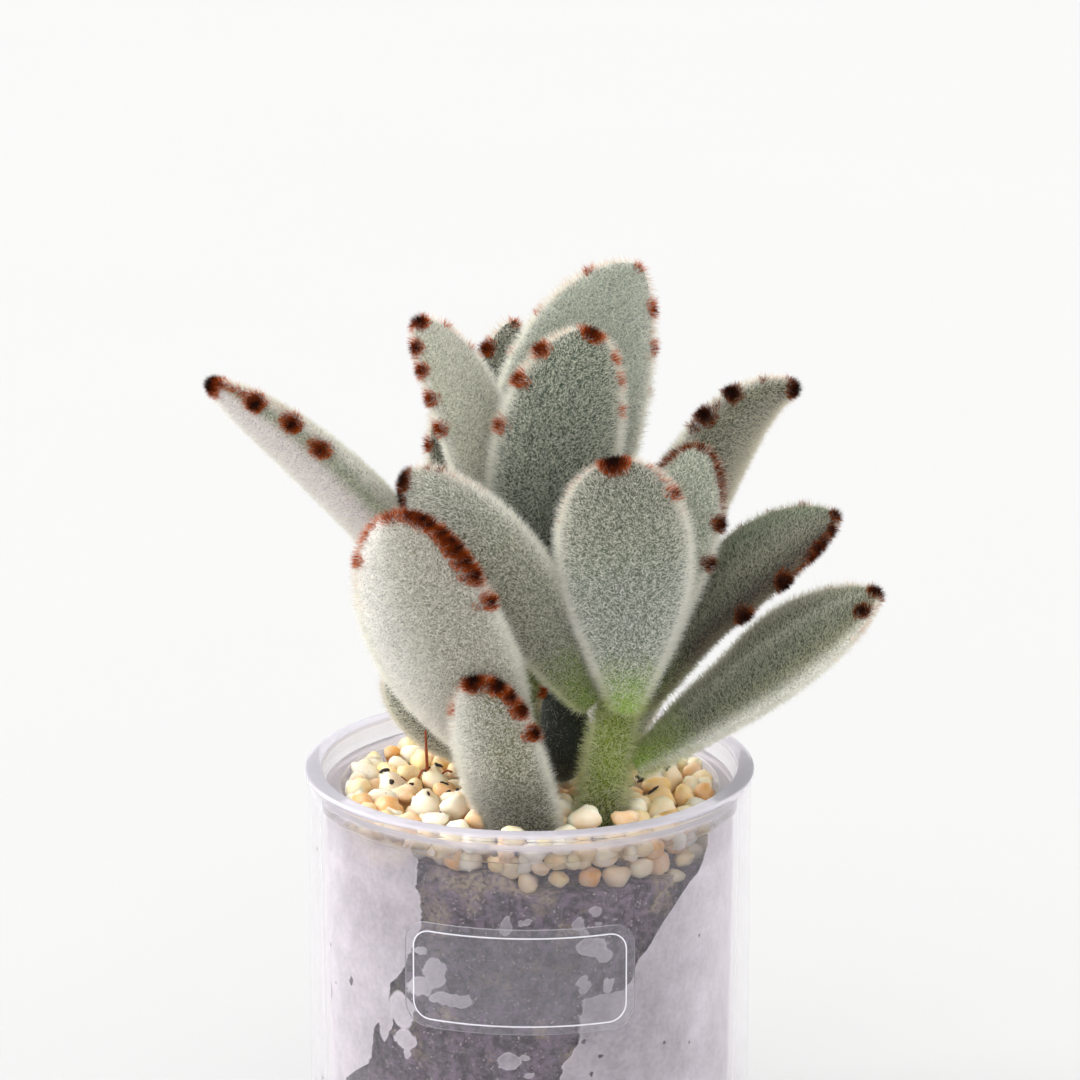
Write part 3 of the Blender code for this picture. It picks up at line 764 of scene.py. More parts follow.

# Leaves
# Thick spoon-shaped leaves, each a fleshy lens on a narrow stalk, under a dense silver felt.
# Rust-brown tufts with near-black middles, the black partly painted shade, sit on the teeth of the
# upper margin and the tip. Each grows out of a stem's side, but for one at the front that comes up
# through the gravel. Light and shade are partly painted into the leaves' colours: paler lit sides,
# paler or darker towards the tip, highlights and shaded strips in bands, darker leaves deep in the
# plant and on its right, and darker feet at the gravel.

# each leaf: its stem, its foot (height and compass side on the stem, or a place in the gravel),
# its middle, its tip, its face (compass and tilt of the upper side), then its width, thickness,
# width of stalk, how far along it is widest, and how sharply it ends
LEAVES = {
    "leaf_front_round": ("front", (80.5, -80), (13.7, -18.0, 100.0), (11.9, -17.5, 116.6),
                         (90, 0), 18.6, 5.0, 4.6, 0.62, 0.50),
    "leaf_front_right": ("front", (85.0, 0), (20.0, -11.0, 100.2), (24.5, -10.0, 116.6),
                         (75, 10), 11.5, 4.2, 3.4, 0.62, 0.60),
    "leaf_middle_left": ("front", (80.0, 190), (-4.3, -14.5, 99.5), (-17.8, -11.5, 112.6),
                         (75, 25), 15.8, 5.0, 4.4, 0.60, 0.50),
    "leaf_low_right": ("front", (70.5, 0), (34.6, -13.0, 85.6), (50.0, -11.0, 95.4),
                       (-134, 46), 15.2, 4.6, 4.0, 0.60, 0.70),
    "leaf_right": ("front", (78.5, 32), (29.3, -6.0, 95.4), (44.3, -4.0, 104.8),
                   (-133, 38), 13.2, 4.4, 3.6, 0.60, 0.70),
    "leaf_upper_right": ("front", (87.6, 70), (27.2, 1.0, 113.4), (38.5, 2.0, 122.3),
                         (119, 28), 15.6, 5.0, 3.4, 0.45, 0.66),
    "leaf_small_front": (None, (0.6, -20.0, 58.0), (-3.9, -22.0, 73.0), (-7.8, -24.0, 86.2),
                         (80, 10), 11.8, 5.5, 9.0, 0.50, 0.50),
    "leaf_big_left": ("back", (66.0, -120), (-11.8, -19.5, 88.0), (-19.6, -21.5, 109.8),
                      (75, 10), 20.0, 5.5, 4.2, 0.60, 0.50),
    "leaf_dark_inner": ("back", (66.6, -50), (5.3, -8.8, 71.0), (3.6, -8.2, 81.6),
                        (90, 0), 7.6, 3.2, 3.0, 0.50, 0.70),
    "leaf_far_left": ("back", (81.0, 180), (-23.2, -3.5, 105.8), (-45.6, -4.0, 124.6),
                      (44, 32), 15.0, 6.0, 4.0, 0.60, 0.60),
    "leaf_centre_tall": ("back", (89.5, -60), (3.6, -4.6, 112.6), (9.0, -3.6, 132.0),
                         (100, 0), 18.0, 5.0, 4.0, 0.52, 0.50),
    "leaf_back_tallest": ("back", (84.5, 60), (5.6, 10.5, 115.9), (16.2, 15.0, 137.2),
                          (-88, 5), 21.4, 5.0, 4.2, 0.55, 0.66),
    "leaf_upper_left": ("back", (89.5, 165), (-7.1, -0.6, 114.0), (-16.1, 0.4, 132.6),
                        (-40, 10), 13.2, 4.6, 3.4, 0.58, 0.60),
    "leaf_behind_left": ("back", (67.0, 165), (-14.9, 2.5, 70.9), (-19.6, 1.5, 79.8),
                         (60, 30), 8.0, 3.6, 3.2, 0.55, 0.60),
    "leaf_back_left": ("back", (73.0, 160), (-10.2, 7.2, 104.4), (-13.0, 8.5, 118.3),
                       (-70, 20), 9.0, 3.6, 3.0, 0.55, 0.60),
    "leaf_back_tip": ("back", (76.0, 92), (-3.6, 18.5, 110.1), (-2.0, 23.0, 127.0),
                      (-80, 5), 11.0, 3.8, 3.4, 0.60, 0.60),
    "leaf_behind_stem": ("front", (70.0, 80), (17.2, -4.6, 78.0), (19.2, -1.8, 85.5),
                         (150, 10), 6.6, 2.8, 2.6, 0.55, 0.60),
    "leaf_young_left": ("front", (85.5, 150), (8.1, -10.0, 92.2), (5.6, -10.0, 99.6),
                        (10, 20), 6.0, 2.6, 2.4, 0.55, 0.60),
}
# tufts of each leaf: how far along, side of the margin (1, -1, 0 for the tip, or part of the way
# out over the face that is seen), radius in mm and how dark
TUFTS = {
    "leaf_front_round": [(1.0, 0, 2.2, 1.4), (0.84, -1, 0.9, 1.1), (0.95, -1, 0.5, 0.1),
                         (0.92, -1, 0.5, 0.1), (0.89, -1, 0.5, 0.2)],
    "leaf_front_right": [(1.0, 0, 0.8, 0.8)] + [(u, side, 0.6, 0.65) for side in (1, -1) for u in (
                         0.985, 0.965, 0.94, 0.915, 0.89, 0.86, 0.83)] + [
                         (0.80, -1, 0.5, 0.3), (0.77, -1, 0.5, 0.3), (0.69, -1, 1.25, 1.1),
                         (0.50, -1, 1.15, 1.0)],
    "leaf_middle_left": [(1.0, 0, 1.9, 1.3), (0.965, 0.85, 1.5, 1.3), (0.905, 0.85, 1.3, 1.2),
                         (0.80, 1, 1.1, 0.8), (0.92, -1, 0.5, 0.4), (0.95, -1, 0.4, 0.3)],
    "leaf_low_right": [(1.0, 0, 1.4, 1.1), (0.915, 0.6, 1.3, 1.1), (0.86, -1, 0.5, 0.2)],
    "leaf_right": [(1.0, 0, 1.0, 1.0), (0.96, 1, 0.95, 1.1), (0.92, 1, 0.9, 1.1), (0.88, 1, 1.05, 1.3),
                   (0.84, 1, 0.9, 1.0), (0.80, 1, 0.6, 0.9), (0.76, 1, 0.6, 0.9), (0.70, 1, 1.5, 1.5),
                   (0.495, 1, 1.5, 1.5), (0.90, -1, 0.5, 0.4), (0.80, -1, 0.5, 0.4), (0.69, -1, 0.5, 0.4)],
    "leaf_upper_right": [(1.0, 0, 1.7, 1.3), (0.82, 1, 1.35, 1.4), (0.73, 1, 1.35, 1.3),
                         (0.68, 1, 0.9, 0.5), (0.92, 1, 0.45, 0.3), (0.77, 1, 0.45, 0.4)],
    "leaf_small_front": [(1.0, 0, 1.8, 1.2), (0.95, -1, 1.6, 1.2), (0.88, -1, 1.3, 1.1),
                         (0.80, -1, 1.4, 1.2), (0.66, -1, 1.3, 1.3), (0.86, 1, 0.7, 0.3)],
    "leaf_big_left": [(1.0, 0, 1.4, 0.4), (0.99, -1, 1.4, 0.9), (0.97, -1, 1.3, 1.2), (0.945, -1, 1.3, 1.2),
                      (0.92, -1, 1.2, 1.2), (0.89, -1, 1.2, 1.1), (0.86, -1, 1.4, 1.3), (0.825, -1, 1.3, 1.2),
                      (0.79, -1, 1.3, 1.3), (0.75, -1, 0.8, 0.6), (0.70, -1, 1.2, 1.3),
                      (0.99, 1, 0.9, 0.2), (0.97, 1, 0.8, 0.15), (0.945, 1, 0.7, 0.1), (0.90, 1, 1.0, 0.5)],
    "leaf_dark_inner": [(0.92, 1, 0.8, 0.8), (0.75, -1, 0.7, 0.7)],
    "leaf_far_left": [(1.0, 0, 2.0, 1.4), (0.89, -0.88, 1.5, 1.3), (0.795, -0.92, 1.45, 1.1),
                      (0.715, -0.87, 1.45, 1.0)] + [(u, -0.9, 0.6, 0.4) for u in (0.98, 0.965, 0.945, 0.925)],
    "leaf_centre_tall": [(1.0, 0, 1.8, 1.0), (0.89, 1, 1.3, 0.85), (0.78, 1, 1.2, 0.8), (0.63, 1, 1.05, 0.8),
                         (0.94, -1, 0.8, 0.3), (0.87, -1, 0.8, 0.3), (0.76, -1, 0.8, 0.35)],
    "leaf_back_tallest": [(0.92, -1, 0.8, 0.6), (0.79, -1, 0.7, 0.4), (0.68, -1, 0.7, 0.2),
                          (1.0, 0, 0.7, 0.15), (0.93, 1, 1.0, 1.0), (0.83, 1, 1.0, 1.0), (0.70, 1, 0.6, 0.3)],
    "leaf_upper_left": [(1.0, 0, 1.5, 1.1), (0.94, -1, 1.2, 0.9), (0.86, -1, 1.2, 0.85), (0.77, -1, 1.2, 0.8),
                        (0.67, -1, 1.2, 0.75), (0.83, 1, 0.7, 0.3), (0.93, 1, 0.7, 0.4)],
    "leaf_behind_left": [(1.0, 0, 0.9, 0.8), (0.86, -1, 0.8, 0.8)],
    "leaf_back_left": [(1.0, 0, 1.1, 0.8), (0.88, 1, 0.9, 0.7), (0.88, -1, 0.9, 0.7)],
    "leaf_back_tip": [(1.0, 0, 0.8, 0.1), (0.91, -1, 1.5, 1.0), (0.80, -1, 1.0, 0.6), (0.88, 1, 1.0, 0.7)],
    "leaf_behind_stem": [(1.0, 0, 0.9, 0.9), (0.90, -1, 0.9, 0.9), (0.78, -1, 0.9, 0.8),
                         (0.66, -1, 0.8, 0.8)],
    "leaf_young_left": [(1.0, 0, 0.8, 0.8)],
}
# how a leaf looks where nothing else is said: colours of its hairs and flesh, how green its stalk
# is and how sharply that fades, how much paler its lit side is painted (painted light), how much
# paler it is painted towards its tip (painted light and shade along the leaf), its edge's colour and
# how many hairs stand there, how thick its felt is, whether its tufts are dark (partly painted shade
# on leaves that lie in shade), where it draws in (side of the margin, how far along and by what
# share), and its lengthwise bands, some painted highlights, some painted shade and some its own
# colour (where across it, half width, hair and flesh colours and how strong)
PLAIN_LEAF = dict(hair="#F6F4E6", flesh="#4A5247", green=0.35, green_fade=0.8, sunny=0.0, rise=0.1,
                  edge=WHITE, edge_hairs=1.0, felt=1.0, dark_tufts=False, drawn_in=(0, 0, 0), bands=[])
LEAF_LOOKS = {
    "leaf_front_round": dict(hair="#FFFDF4", flesh="#5E6656", green=1.0, green_fade=1.6, rise=-0.7,
                             edge_hairs=1.2),
    "leaf_front_right": dict(hair="#FFFDF2", flesh="#7E8677", green=0.3, rise=0.0, dark_tufts=True),
    "leaf_middle_left": dict(hair="#FFFDF2", flesh="#6E7260", green=0.9, rise=0.8, dark_tufts=True),
    # its darker hairs and flesh are partly painted shade; the pale bands on its lit lower margin, along its
    # fold and over its upper face are painted light, and the darker green strip below the fold is painted
    # shade
    "leaf_low_right": dict(hair="#BCBEA6", flesh="#313B27", green=0.95, rise=0.3, edge_hairs=0.6,
                           dark_tufts=True, drawn_in=(-1, 0.40, 0.17), bands=[
                               (1.0, 0.3, "#FFFFFA", "#D8D8CA", 0.7),
                               (-0.2, 0.14, "#FFFFF6", "#9C9E8E", 0.4),
                               (-0.9, 0.3, "#F4F0E4", "#A09C8C", 0.4),
                               (0.62, 0.2, "#C0BE92", "#4A4A22", 0.4)]),
    # its darker hairs and flesh are partly painted shade, and the pale band near its middle is a painted
    # highlight
    "leaf_right": dict(hair="#C4C6B0", flesh="#383F2F", green=0.4, rise=0.0, edge="#75684F", edge_hairs=0.15,
                       dark_tufts=True, drawn_in=(1, 0.36, 0.12), bands=[
                           (0.05, 0.25, "#CECBBB", "#6C6A5C", 0.45),
                           (0.95, 0.45, "#45250F", "#200F06", 0.95),
                           (-0.8, 0.45, "#BCC8AE", "#54654C", 0.75)]),
    # its darker hairs and flesh are partly painted shade, and the cream band along its lower side is painted
    # light, where light from the low right falls
    "leaf_upper_right": dict(hair="#CFC9B5", flesh="#3C4032", green=0.3, rise=0.0, dark_tufts=True, bands=[
        (-1.0, 0.65, "#F6F0E2", "#D8CFBC", 0.6), (0.9, 0.35, "#D0D0B4", "#5A6446", 0.5)]),
    "leaf_small_front": dict(hair="#FFFDF2", flesh="#6A6850", green=0.3, sunny=0.5, rise=0.5),
    "leaf_big_left": dict(hair="#FFFEF8", flesh="#8C887A", green=0.2, sunny=1.0),
    # near-black hairs, flesh and edge over a thin felt: painted shade, for a leaf deep in the plant's shadow
    "leaf_dark_inner": dict(hair="#20260F", flesh="#10170A", green=0.4, rise=0.0, edge="#2A2E1C",
                            edge_hairs=0.4, felt=0.15),
    # its band is painted shade along the ridge where its tufts run
    "leaf_far_left": dict(hair="#FFFAFC", flesh="#CCC4C8", green=0.3, sunny=0.6, rise=0.0,
                          bands=[(-0.82, 0.22, "#D2D6BC", "#6E7A5E", 0.85)]),
    "leaf_centre_tall": dict(hair="#E6E8DA", flesh="#3F4B3E", green=0.3, rise=0.7, edge_hairs=1.2),
    "leaf_back_tallest": dict(hair="#F6F8EE", flesh="#8C958A", green=0.3, sunny=0.1, rise=0.2),
    "leaf_upper_left": dict(hair="#FFFDF6", flesh="#9EA08E", green=0.3, rise=0.2),
    # greyer edges: painted shade on leaves that sit behind others
    "leaf_behind_left": dict(edge="#C8C8B8"),
    "leaf_behind_stem": dict(edge="#8A8874"),
}
STALK_GREEN, LIT_FLESH, UNDER_TUFT = "#789A20", "#EEEAEA", "#4E1E0E"
# darker tuft colours; on the leaves at the right, which lie in shade, they are partly painted shade
DARK_FRINGE, DARK_RUST = "#95480F", "#5A2407"
# rings along a leaf and points round each, and more points where a tuft sits out on its face
ALONG, AROUND, FINE_AROUND = 66, 26, 60
# how far a tooth stands out in mm, how deeply a leaf is cupped, and how far along it is thickest
TOOTH, CUP_SHAPE, FULL_AT = 0.55, 0.10, 0.45
# a stalk's foot: how far off the stem it starts in widths of stalk, and how far it sinks back in mm
STALK_REACH, STALK_SUNK = 0.6, 0.9
# the height under which the leaf in the gravel has no hairs
HAIRLESS_BELOW = 61
# hairs to a square metre and their size in metres, and how the felt leans and is ruffled
LEAF_COAT = {
    "Felt Density": 32e6, "Felt Length": 0.0012, "Felt Width": 0.000066, "Lean": 0.42, "Ruffle": 0.8,
    "Tuft Density": 150e6, "Tuft Length": 0.0013, "Tuft Width": 0.00008,
    "Margin Density": 46e6, "Margin Length": 0.0016, "Margin Width": 0.00007}


def leaf_line(stem, foot, middle, tip, stalk):
    """The leaf's middle line as 401 points, from just under its stem's skin to the tip."""
    middle, tip = np.array(middle, float), np.array(tip, float)
    if stem is None:
        root = np.array(foot, float)
    else:
        points, radii = STEMS[stem]
        heights = [p[2] for p in points]
        out = heading(foot[1], 0)
        axis = np.array([np.interp(foot[0], heights, [p[i] for p in points]) for i in range(3)])
        bark = axis + out * np.interp(foot[0], heights, radii)
        rise = unit(2 * middle - (bark + tip) / 2 - bark)
        reach = STALK_REACH * stalk * math.sqrt(1 - float(rise @ out) ** 2)
        root = bark + out * (0.3 + reach)
    t = np.linspace(0, 1, 401)[:, None]
    control = 2 * middle - (root + tip) / 2
    line = (1 - t) ** 2 * root + 2 * t * (1 - t) * control + t ** 2 * tip
    if stem is not None:
        sink = np.clip(1 - t / 0.12, 0, 1) ** 2
        line = line - out * STALK_SUNK * sink
    return line


def leaf_form(name):
    """A leaf's middle line and half sizes at ALONG places from its foot to its tip, in mm."""
    stem, foot, middle, tip, face, wide, thick, stalk, widest, point = LEAVES[name]
    line = leaf_line(stem, foot, middle, tip, stalk)
    steps = np.linalg.norm(np.diff(line, axis=0), axis=1)
    run = np.concatenate([[0], np.cumsum(steps)]) / steps.sum()
    u = 1 - (1 - np.linspace(0, 0.9995, ALONG)) ** 1.25
    slope = np.gradient(line, axis=0)
    ahead = unit(np.stack([np.interp(u, run, slope[:, i]) for i in range(3)], -1))
    look = heading(*face)
    up = unit(look - (ahead @ look)[:, None] * ahead)

    widen = np.sin(np.pi / 2 * np.clip(u / widest, 0, 1)) ** 1.3
    taper = np.clip((u - widest) / (1 - widest), 0, 1)
    width = np.where(u < widest, stalk / 2 + (wide / 2 - stalk / 2) * widen,
                     wide / 2 * (1 - taper ** 2.2) ** point)
    depth = stalk / 2 + (thick / 2 - stalk / 2) * np.sin(np.pi / 2 * np.clip(u / FULL_AT, 0, 1)) ** 1.2
    thin = 1 - 0.55 * np.clip((u - FULL_AT) / (1 - FULL_AT), 0, 1) ** 1.5
    depth = np.where(u > FULL_AT, thick / 2 * thin, depth) * np.sqrt(1 - u ** 14)
    return SimpleNamespace(
        name=name, in_gravel=stem is None, tip=line[-1], length=steps.sum(), u=u, ahead=ahead, up=up,
        side=np.cross(ahead, up), centre=np.stack([np.interp(u, run, line[:, i]) for i in range(3)], -1),
        width=width, depth=depth)


def leaf_rings(leaf, drawn_in, cos, sin):
    """The rings of a leaf's skin: a lens, cupped above, with a tooth under each margin tuft."""
    bulge = {1: np.zeros(ALONG), -1: np.zeros(ALONG)}
    for at, side, radius, dark in TUFTS[leaf.name]:
        if side in bulge:
            bulge[side] += np.exp(-((leaf.u - at) * leaf.length / (radius * 0.75)) ** 2) * radius / 1.4
    drawn_side, drawn_at, drawn_by = drawn_in
    rings = []
    for i, position in enumerate(leaf.u):
        width, full = leaf.width[i], min(1, position / 0.3)
        nip = drawn_by * math.exp(-((position - drawn_at) / 0.16) ** 2)
        across = np.sign(cos) * np.abs(cos) ** (1 - 0.12 * full) * width
        across = across * (1 - nip * (cos * drawn_side > 0))
        lift = np.sign(sin) * np.abs(sin) ** (1 + 0.25 * full) * leaf.depth[i]
        lift = lift * np.where(sin < 0, 1.15, 0.85)
        tooth = TOOTH * np.where(cos > 0, min(bulge[1][i], 1.2), min(bulge[-1][i], 1.2))
        across = across + np.sign(cos) * np.abs(cos) ** 6 * tooth
        trough = CUP_SHAPE * full * width
        lift = lift + trough * (across / max(width, 0.05)) ** 2 - 0.4 * trough
        rings.append(leaf.centre[i] + across[:, None] * leaf.side[i] + lift[:, None] * leaf.up[i])
    return rings


def tuft_marks(leaf, rings, points, flow, cos, sin):
    """At each point: how many bristles grow, how near their tuft's middle, and which way they lean."""
    tuft, core, best, splay = *np.zeros((3, len(points))), flow.copy()
    for at, side, radius, dark in TUFTS[leaf.name]:
        i = int(np.argmin(np.abs(leaf.u - at)))
        if side == 0:
            heart, outwards = leaf.tip - leaf.ahead[-1] * 0.4, leaf.ahead[i] * 0.6
        elif abs(side) == 1:
            outwards = leaf.side[i] * side
            heart = leaf.centre[i] + outwards * (leaf.width[i] + 0.1)
        else:
            seen = 1 if leaf.up[i][1] < 0 else -1
            j = int(np.argmin(np.abs(cos - side) + 9 * (sin * seen < 0)))
            heart, outwards = rings[i][j], leaf.up[i] * seen
        gap = np.linalg.norm(points - heart, axis=1)
        strength = np.clip(2.6 * (1 - gap / radius), 0, 1)
        rank = strength * (1.5 - gap / radius)
        nearer = rank > best
        best = np.where(nearer, rank, best)
        tuft = np.where(nearer, strength * (0.35 + 0.65 * dark), tuft)
        core = np.where(nearer, np.clip(1.3 - 1.25 * gap / radius, 0, 1) * (0.3 + 0.7 * dark), core)
        splay = np.where(nearer[:, None], unit(points - (heart - outwards * radius * 0.9)), splay)
    return tuft, core, splay


def towards(colours, tone, share):
    """Colours drawn towards one tone, by a share at each point."""
    return colours * (1 - share[:, None]) + np.array(tone) * share[:, None]


def leaf_colours(looks, green, far, across, margin, tuft, foot_painted_shade):
    """The colours of a leaf's flesh and of its hairs at each point, with painted light and shade in them."""
    # painted light: the side turned to the key light is painted paler, as much as sunny says
    lit = np.clip((across + 0.15) / 1.1, 0, 1) * looks["sunny"]
    skin = towards(np.array(paint(looks["flesh"])), paint(STALK_GREEN), green)
    skin = towards(skin, paint(LIT_FLESH), lit)
    hair = towards(np.array(paint(looks["hair"])), paint("#FFFFFF"), lit)
    # lengthwise bands: some are painted highlights, some painted shade and some the leaf's own colour
    for at, half, band_hair, band_flesh, level in looks["bands"]:
        band = level * np.exp(-((across - at) / half) ** 2) * np.clip(far / 0.3, 0, 1)
        skin, hair = towards(skin, paint(band_flesh), band), towards(hair, paint(band_hair), band)
    # painted light and shade: paler or darker towards the tip as rise says, and darker at the foot
    shade = (1 + looks["rise"] * (np.clip(far, 0.15, 1) - 0.65)) * foot_painted_shade
    skin, hair = skin * shade[:, None], np.clip(hair * shade[:, None], 0, 0.98)
    pale_edge = margin ** 13 * 0.75 * np.clip(shade, 0, 1)
    skin = towards(skin, paint(looks["edge"], 0.7), pale_edge)
    skin = towards(skin, paint(UNDER_TUFT), np.clip(tuft * 1.3 - 0.25, 0, 1))
    hair = towards(hair, paint(looks["edge"]), pale_edge)
    skin[:, 3] = hair[:, 3] = 1
    return skin, hair


def leaf_piece(name, index):
    """Makes a leaf's skin, and the felt and tufts on it."""
    leaf, looks = leaf_form(name), {**PLAIN_LEAF, **LEAF_LOOKS.get(name, {})}
    around = FINE_AROUND if any(0 < abs(side) < 1 for at, side, radius, dark in TUFTS[name]) else AROUND
    angles = 2 * np.pi * np.arange(around) / around
    cos, sin = np.cos(angles), np.sin(angles)
    rings = leaf_rings(leaf, looks["drawn_in"], cos, sin)
    foot = rings[0].mean(axis=0)
    skin = lofted(name + "_skin", rings, foot, leaf.tip, flesh)

    def over_skin(ways):
        """One direction for each point of the skin, its two ends last."""
        return np.concatenate([ways.reshape(-1, 3), leaf.ahead[:1], leaf.ahead[-1:]])

    points = np.concatenate([np.concatenate(rings), [foot], [leaf.tip]])
    far = np.concatenate([np.repeat(leaf.u, around), [0, 1]])
    across = np.concatenate([np.tile(cos, ALONG), [0, 0]])
    margin = np.concatenate([np.tile(np.abs(cos), ALONG), [0, 1]])
    upper = np.concatenate([np.tile(sin, ALONG), [0, 0]])
    ahead, side = leaf.ahead[:, None], leaf.side[:, None]
    flow = over_skin(ahead + (cos ** 3)[:, None] * side * 0.8)
    outward = over_skin(ahead * 0.5 + np.sign(cos)[:, None] * side)
    tuft, core, splay = tuft_marks(leaf, rings, points, flow, cos, sin)
    dense = np.clip(1 - 1.3 * tuft, 0, 1)
    blush = np.clip(margin ** 10 * np.clip((far - 0.72) / 0.28, 0, 1) * 0.6, 0, 1)
    green = np.clip(1 - far / 0.26, 0, 1) ** looks["green_fade"] * looks["green"]
    bare, foot_painted_shade = np.zeros(len(points), bool), np.ones(len(points))
    # the leaf that comes up through the gravel has no hairs low down, and painted shade darkens it towards
    # its foot
    if leaf.in_gravel:
        bare, foot_painted_shade = points[:, 2] < HAIRLESS_BELOW, np.interp(points[:, 2], [64, 73], [0.25, 1.0])
    skin_colour, hair_colour = leaf_colours(looks, green, far, across, margin, tuft, foot_painted_shade)
    edge = np.clip(margin ** 16 - 0.08, 0, 1) * dense * np.clip(far / 0.15, 0, 1)
    pile = 0.86 + 0.2 * margin ** 6 + 0.25 * np.clip(0.3 - far, 0, 1) / 0.3
    painted(skin, flow=flow, splay=splay, tuft=np.where(bare, 0, tuft), fur=np.where(bare, 0, dense),
            core=core, blush=blush, green=green * 0.95, hair=hair_colour, margin=np.where(bare, 0, edge),
            outward=outward, pile=pile * np.where(upper > 0, 0.95, 1.0), flesh=skin_colour)
    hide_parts(name)
    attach(skin, "root")
    fringe, rust = (DARK_FRINGE, DARK_RUST) if looks["dark_tufts"] else (FRINGE, RUST)
    felted(skin, name + "_felt", "felted_leaf", **{
        **LEAF_COAT, "Felt Density": LEAF_COAT["Felt Density"] * looks["felt"],
        "Margin Density": LEAF_COAT["Margin Density"] * looks["edge_hairs"],
        "White": paint(looks["edge"]), "Fringe": paint(fringe), "Rust": paint(rust),
        "Seed": 100 + 7 * index})


for index, name in enumerate(LEAVES):
    leaf_piece(name, index)
for piece in (short_hair, bent_hair):
    bpy.data.objects.remove(piece)

# Gravel
# Smooth river pebbles 3 to 5 mm long, cream, pale yellow, tan and a few pinkish, poured over
# the soil. They lie at random, and show through the liner's wall as well as on top.
PEBBLE_SPACING = 3.25
GRAVEL_LEVEL, GRAVEL_MOUND = 61.9, 0.9
PEBBLE_TONES = ["#FFEFCA", "#FFE3A8", "#FBD080", "#F4B25C", "#FFF4DE", "#F7CA98", "#FFF3D8", "#FBDC9A",
                "#FFF0D4", "#FFE8BC"]
# pebbles laid one by one against the front: x, y, z, length and turn in degrees
FRONT_PEBBLES = [(-7.4, -20.0, 64.2, 4.3, 20), (-10.0, -22.2, 63.4, 3.8, -40), (-2.3, -25.1, 63.3, 4.2, 5),
                 (8.3, -20.6, 64.3, 5.3, -15), (13.8, -19.6, 63.9, 4.4, 35), (-13.5, -19.0, 63.6, 4.2, -30),
                 (-10.7, -15.4, 64.4, 4.6, 60), (5.1, -24.2, 63.2, 4.0, 10), (2.0, -25.6, 62.6, 3.2, 0)]
# where the stems and the front leaf come up: x, y and how far off pebbles keep
PLANT_FEET = [(10.0, -13.5, 3.3), (1.0, -2.0, 2.7), (0.1, -20.3, 4.0)]
PEBBLE_SHAPES, PEBBLE_FACETS = 9, 8
POUR_TRIES, POUR_MARGIN, SECOND_LAYER_DROP = 9000, 1.9, 1.9
# pebbles against the liner's wall: rows, pebbles in each, height of the top row and of a row
WALL_ROWS, WALL_PEBBLES, WALL_TOP, WALL_ROW_HEIGHT = 5, 40, 62.1, 2.35

stone, start = finish("smooth cream pebbles")
place = start.place()
tone = start.kept("tone")
mottle = place.noise(480.0, 5.0, Roughness=0.6)
veins = place.noise(150.0, 3.0, Distortion=1.6)
pits = place.dots(900.0)
spots = (1 - pits.above(0.13, 0.1)) * mottle.above(0.55, 0.05)
tone = (veins.above(0.58, 0.14) * 0.35).tinted(tone, paint("#E8B068"))
tone = (mottle.above(0.5, 0.3) * 0.4).tinted(tone, paint("#FBF6EC"))
tone = (spots * 0.5).tinted(tone, paint("#8C6A4A"))
surface(start, {
    "Base Color": tone, "Roughness": mottle * 0.25 + 0.38, "Normal": mottle.bumps(0.25, 0.0003),
    "Subsurface Weight": 0.35, "Subsurface Scale": 1.0, "Subsurface Radius": (0.0025, 0.0013, 0.0006)})

rng = random.Random(23)
shapes = bpy.data.collections.new("pebble shapes")
bpy.context.scene.collection.children.link(shapes)
for number in range(PEBBLE_SHAPES):
    work = bmesh.new()
    bmesh.ops.create_uvsphere(work, u_segments=10, v_segments=7, radius=0.5)
    pull = [(Vector(unit([rng.gauss(0, 1) for _ in range(3)])), rng.uniform(0.7, 0.96))
            for _ in range(PEBBLE_FACETS)]
    for v in work.verts:
        away = v.co.normalized()
        v.co *= min([1.08] + [level / max(0.35, away.dot(axis)) for axis, level in pull])
        swell = 0.08 * math.sin(4 * away.dot(pull[0][0]) + number)
        v.co *= 1 + swell + 0.06 * math.sin(6 * away.dot(pull[1][0]))
    mesh = bpy.data.meshes.new(f"pebble {number}")
    work.to_mesh(mesh)
    work.free()
    mesh.shade_smooth()
    shapes.objects.link(bpy.data.objects.new(f"pebble {number}", mesh))

places, sizes, turns, tones = [], [], [], []


def keep_pebble(spot, size, turn, tone):
    """Notes down one pebble, with its place and size in mm."""
    places.append([c * MM for c in spot])
    sizes.append([c * MM for c in size])
    turns.append(turn)
    tones.append(tone)


def any_tone():
    """One of the pebbles' colours, a little darkened or not."""
    return paint(rng.choice(PEBBLE_TONES), rng.uniform(0.9, 1.0))


def lay_pebble(spot, long_side, flat, tilt):
    """Lays a pebble inside the wall, unless a stem or leaf comes up there."""
    reach = math.hypot(spot[0], spot[1])
    room = FILL_RADIUS - 0.1 - long_side * 0.42
    if reach > room:
        spot = (spot[0] * room / reach, spot[1] * room / reach, spot[2])
    for x, y, clear_of in PLANT_FEET:
        if math.hypot(spot[0] - x, spot[1] - y) < clear_of + long_side * 0.3:
            return
    keep_pebble(spot, (long_side, long_side * rng.uniform(0.72, 0.92), long_side * flat),
                (rng.gauss(0, tilt), rng.gauss(0, tilt), rng.uniform(0, 6.283)), any_tone())


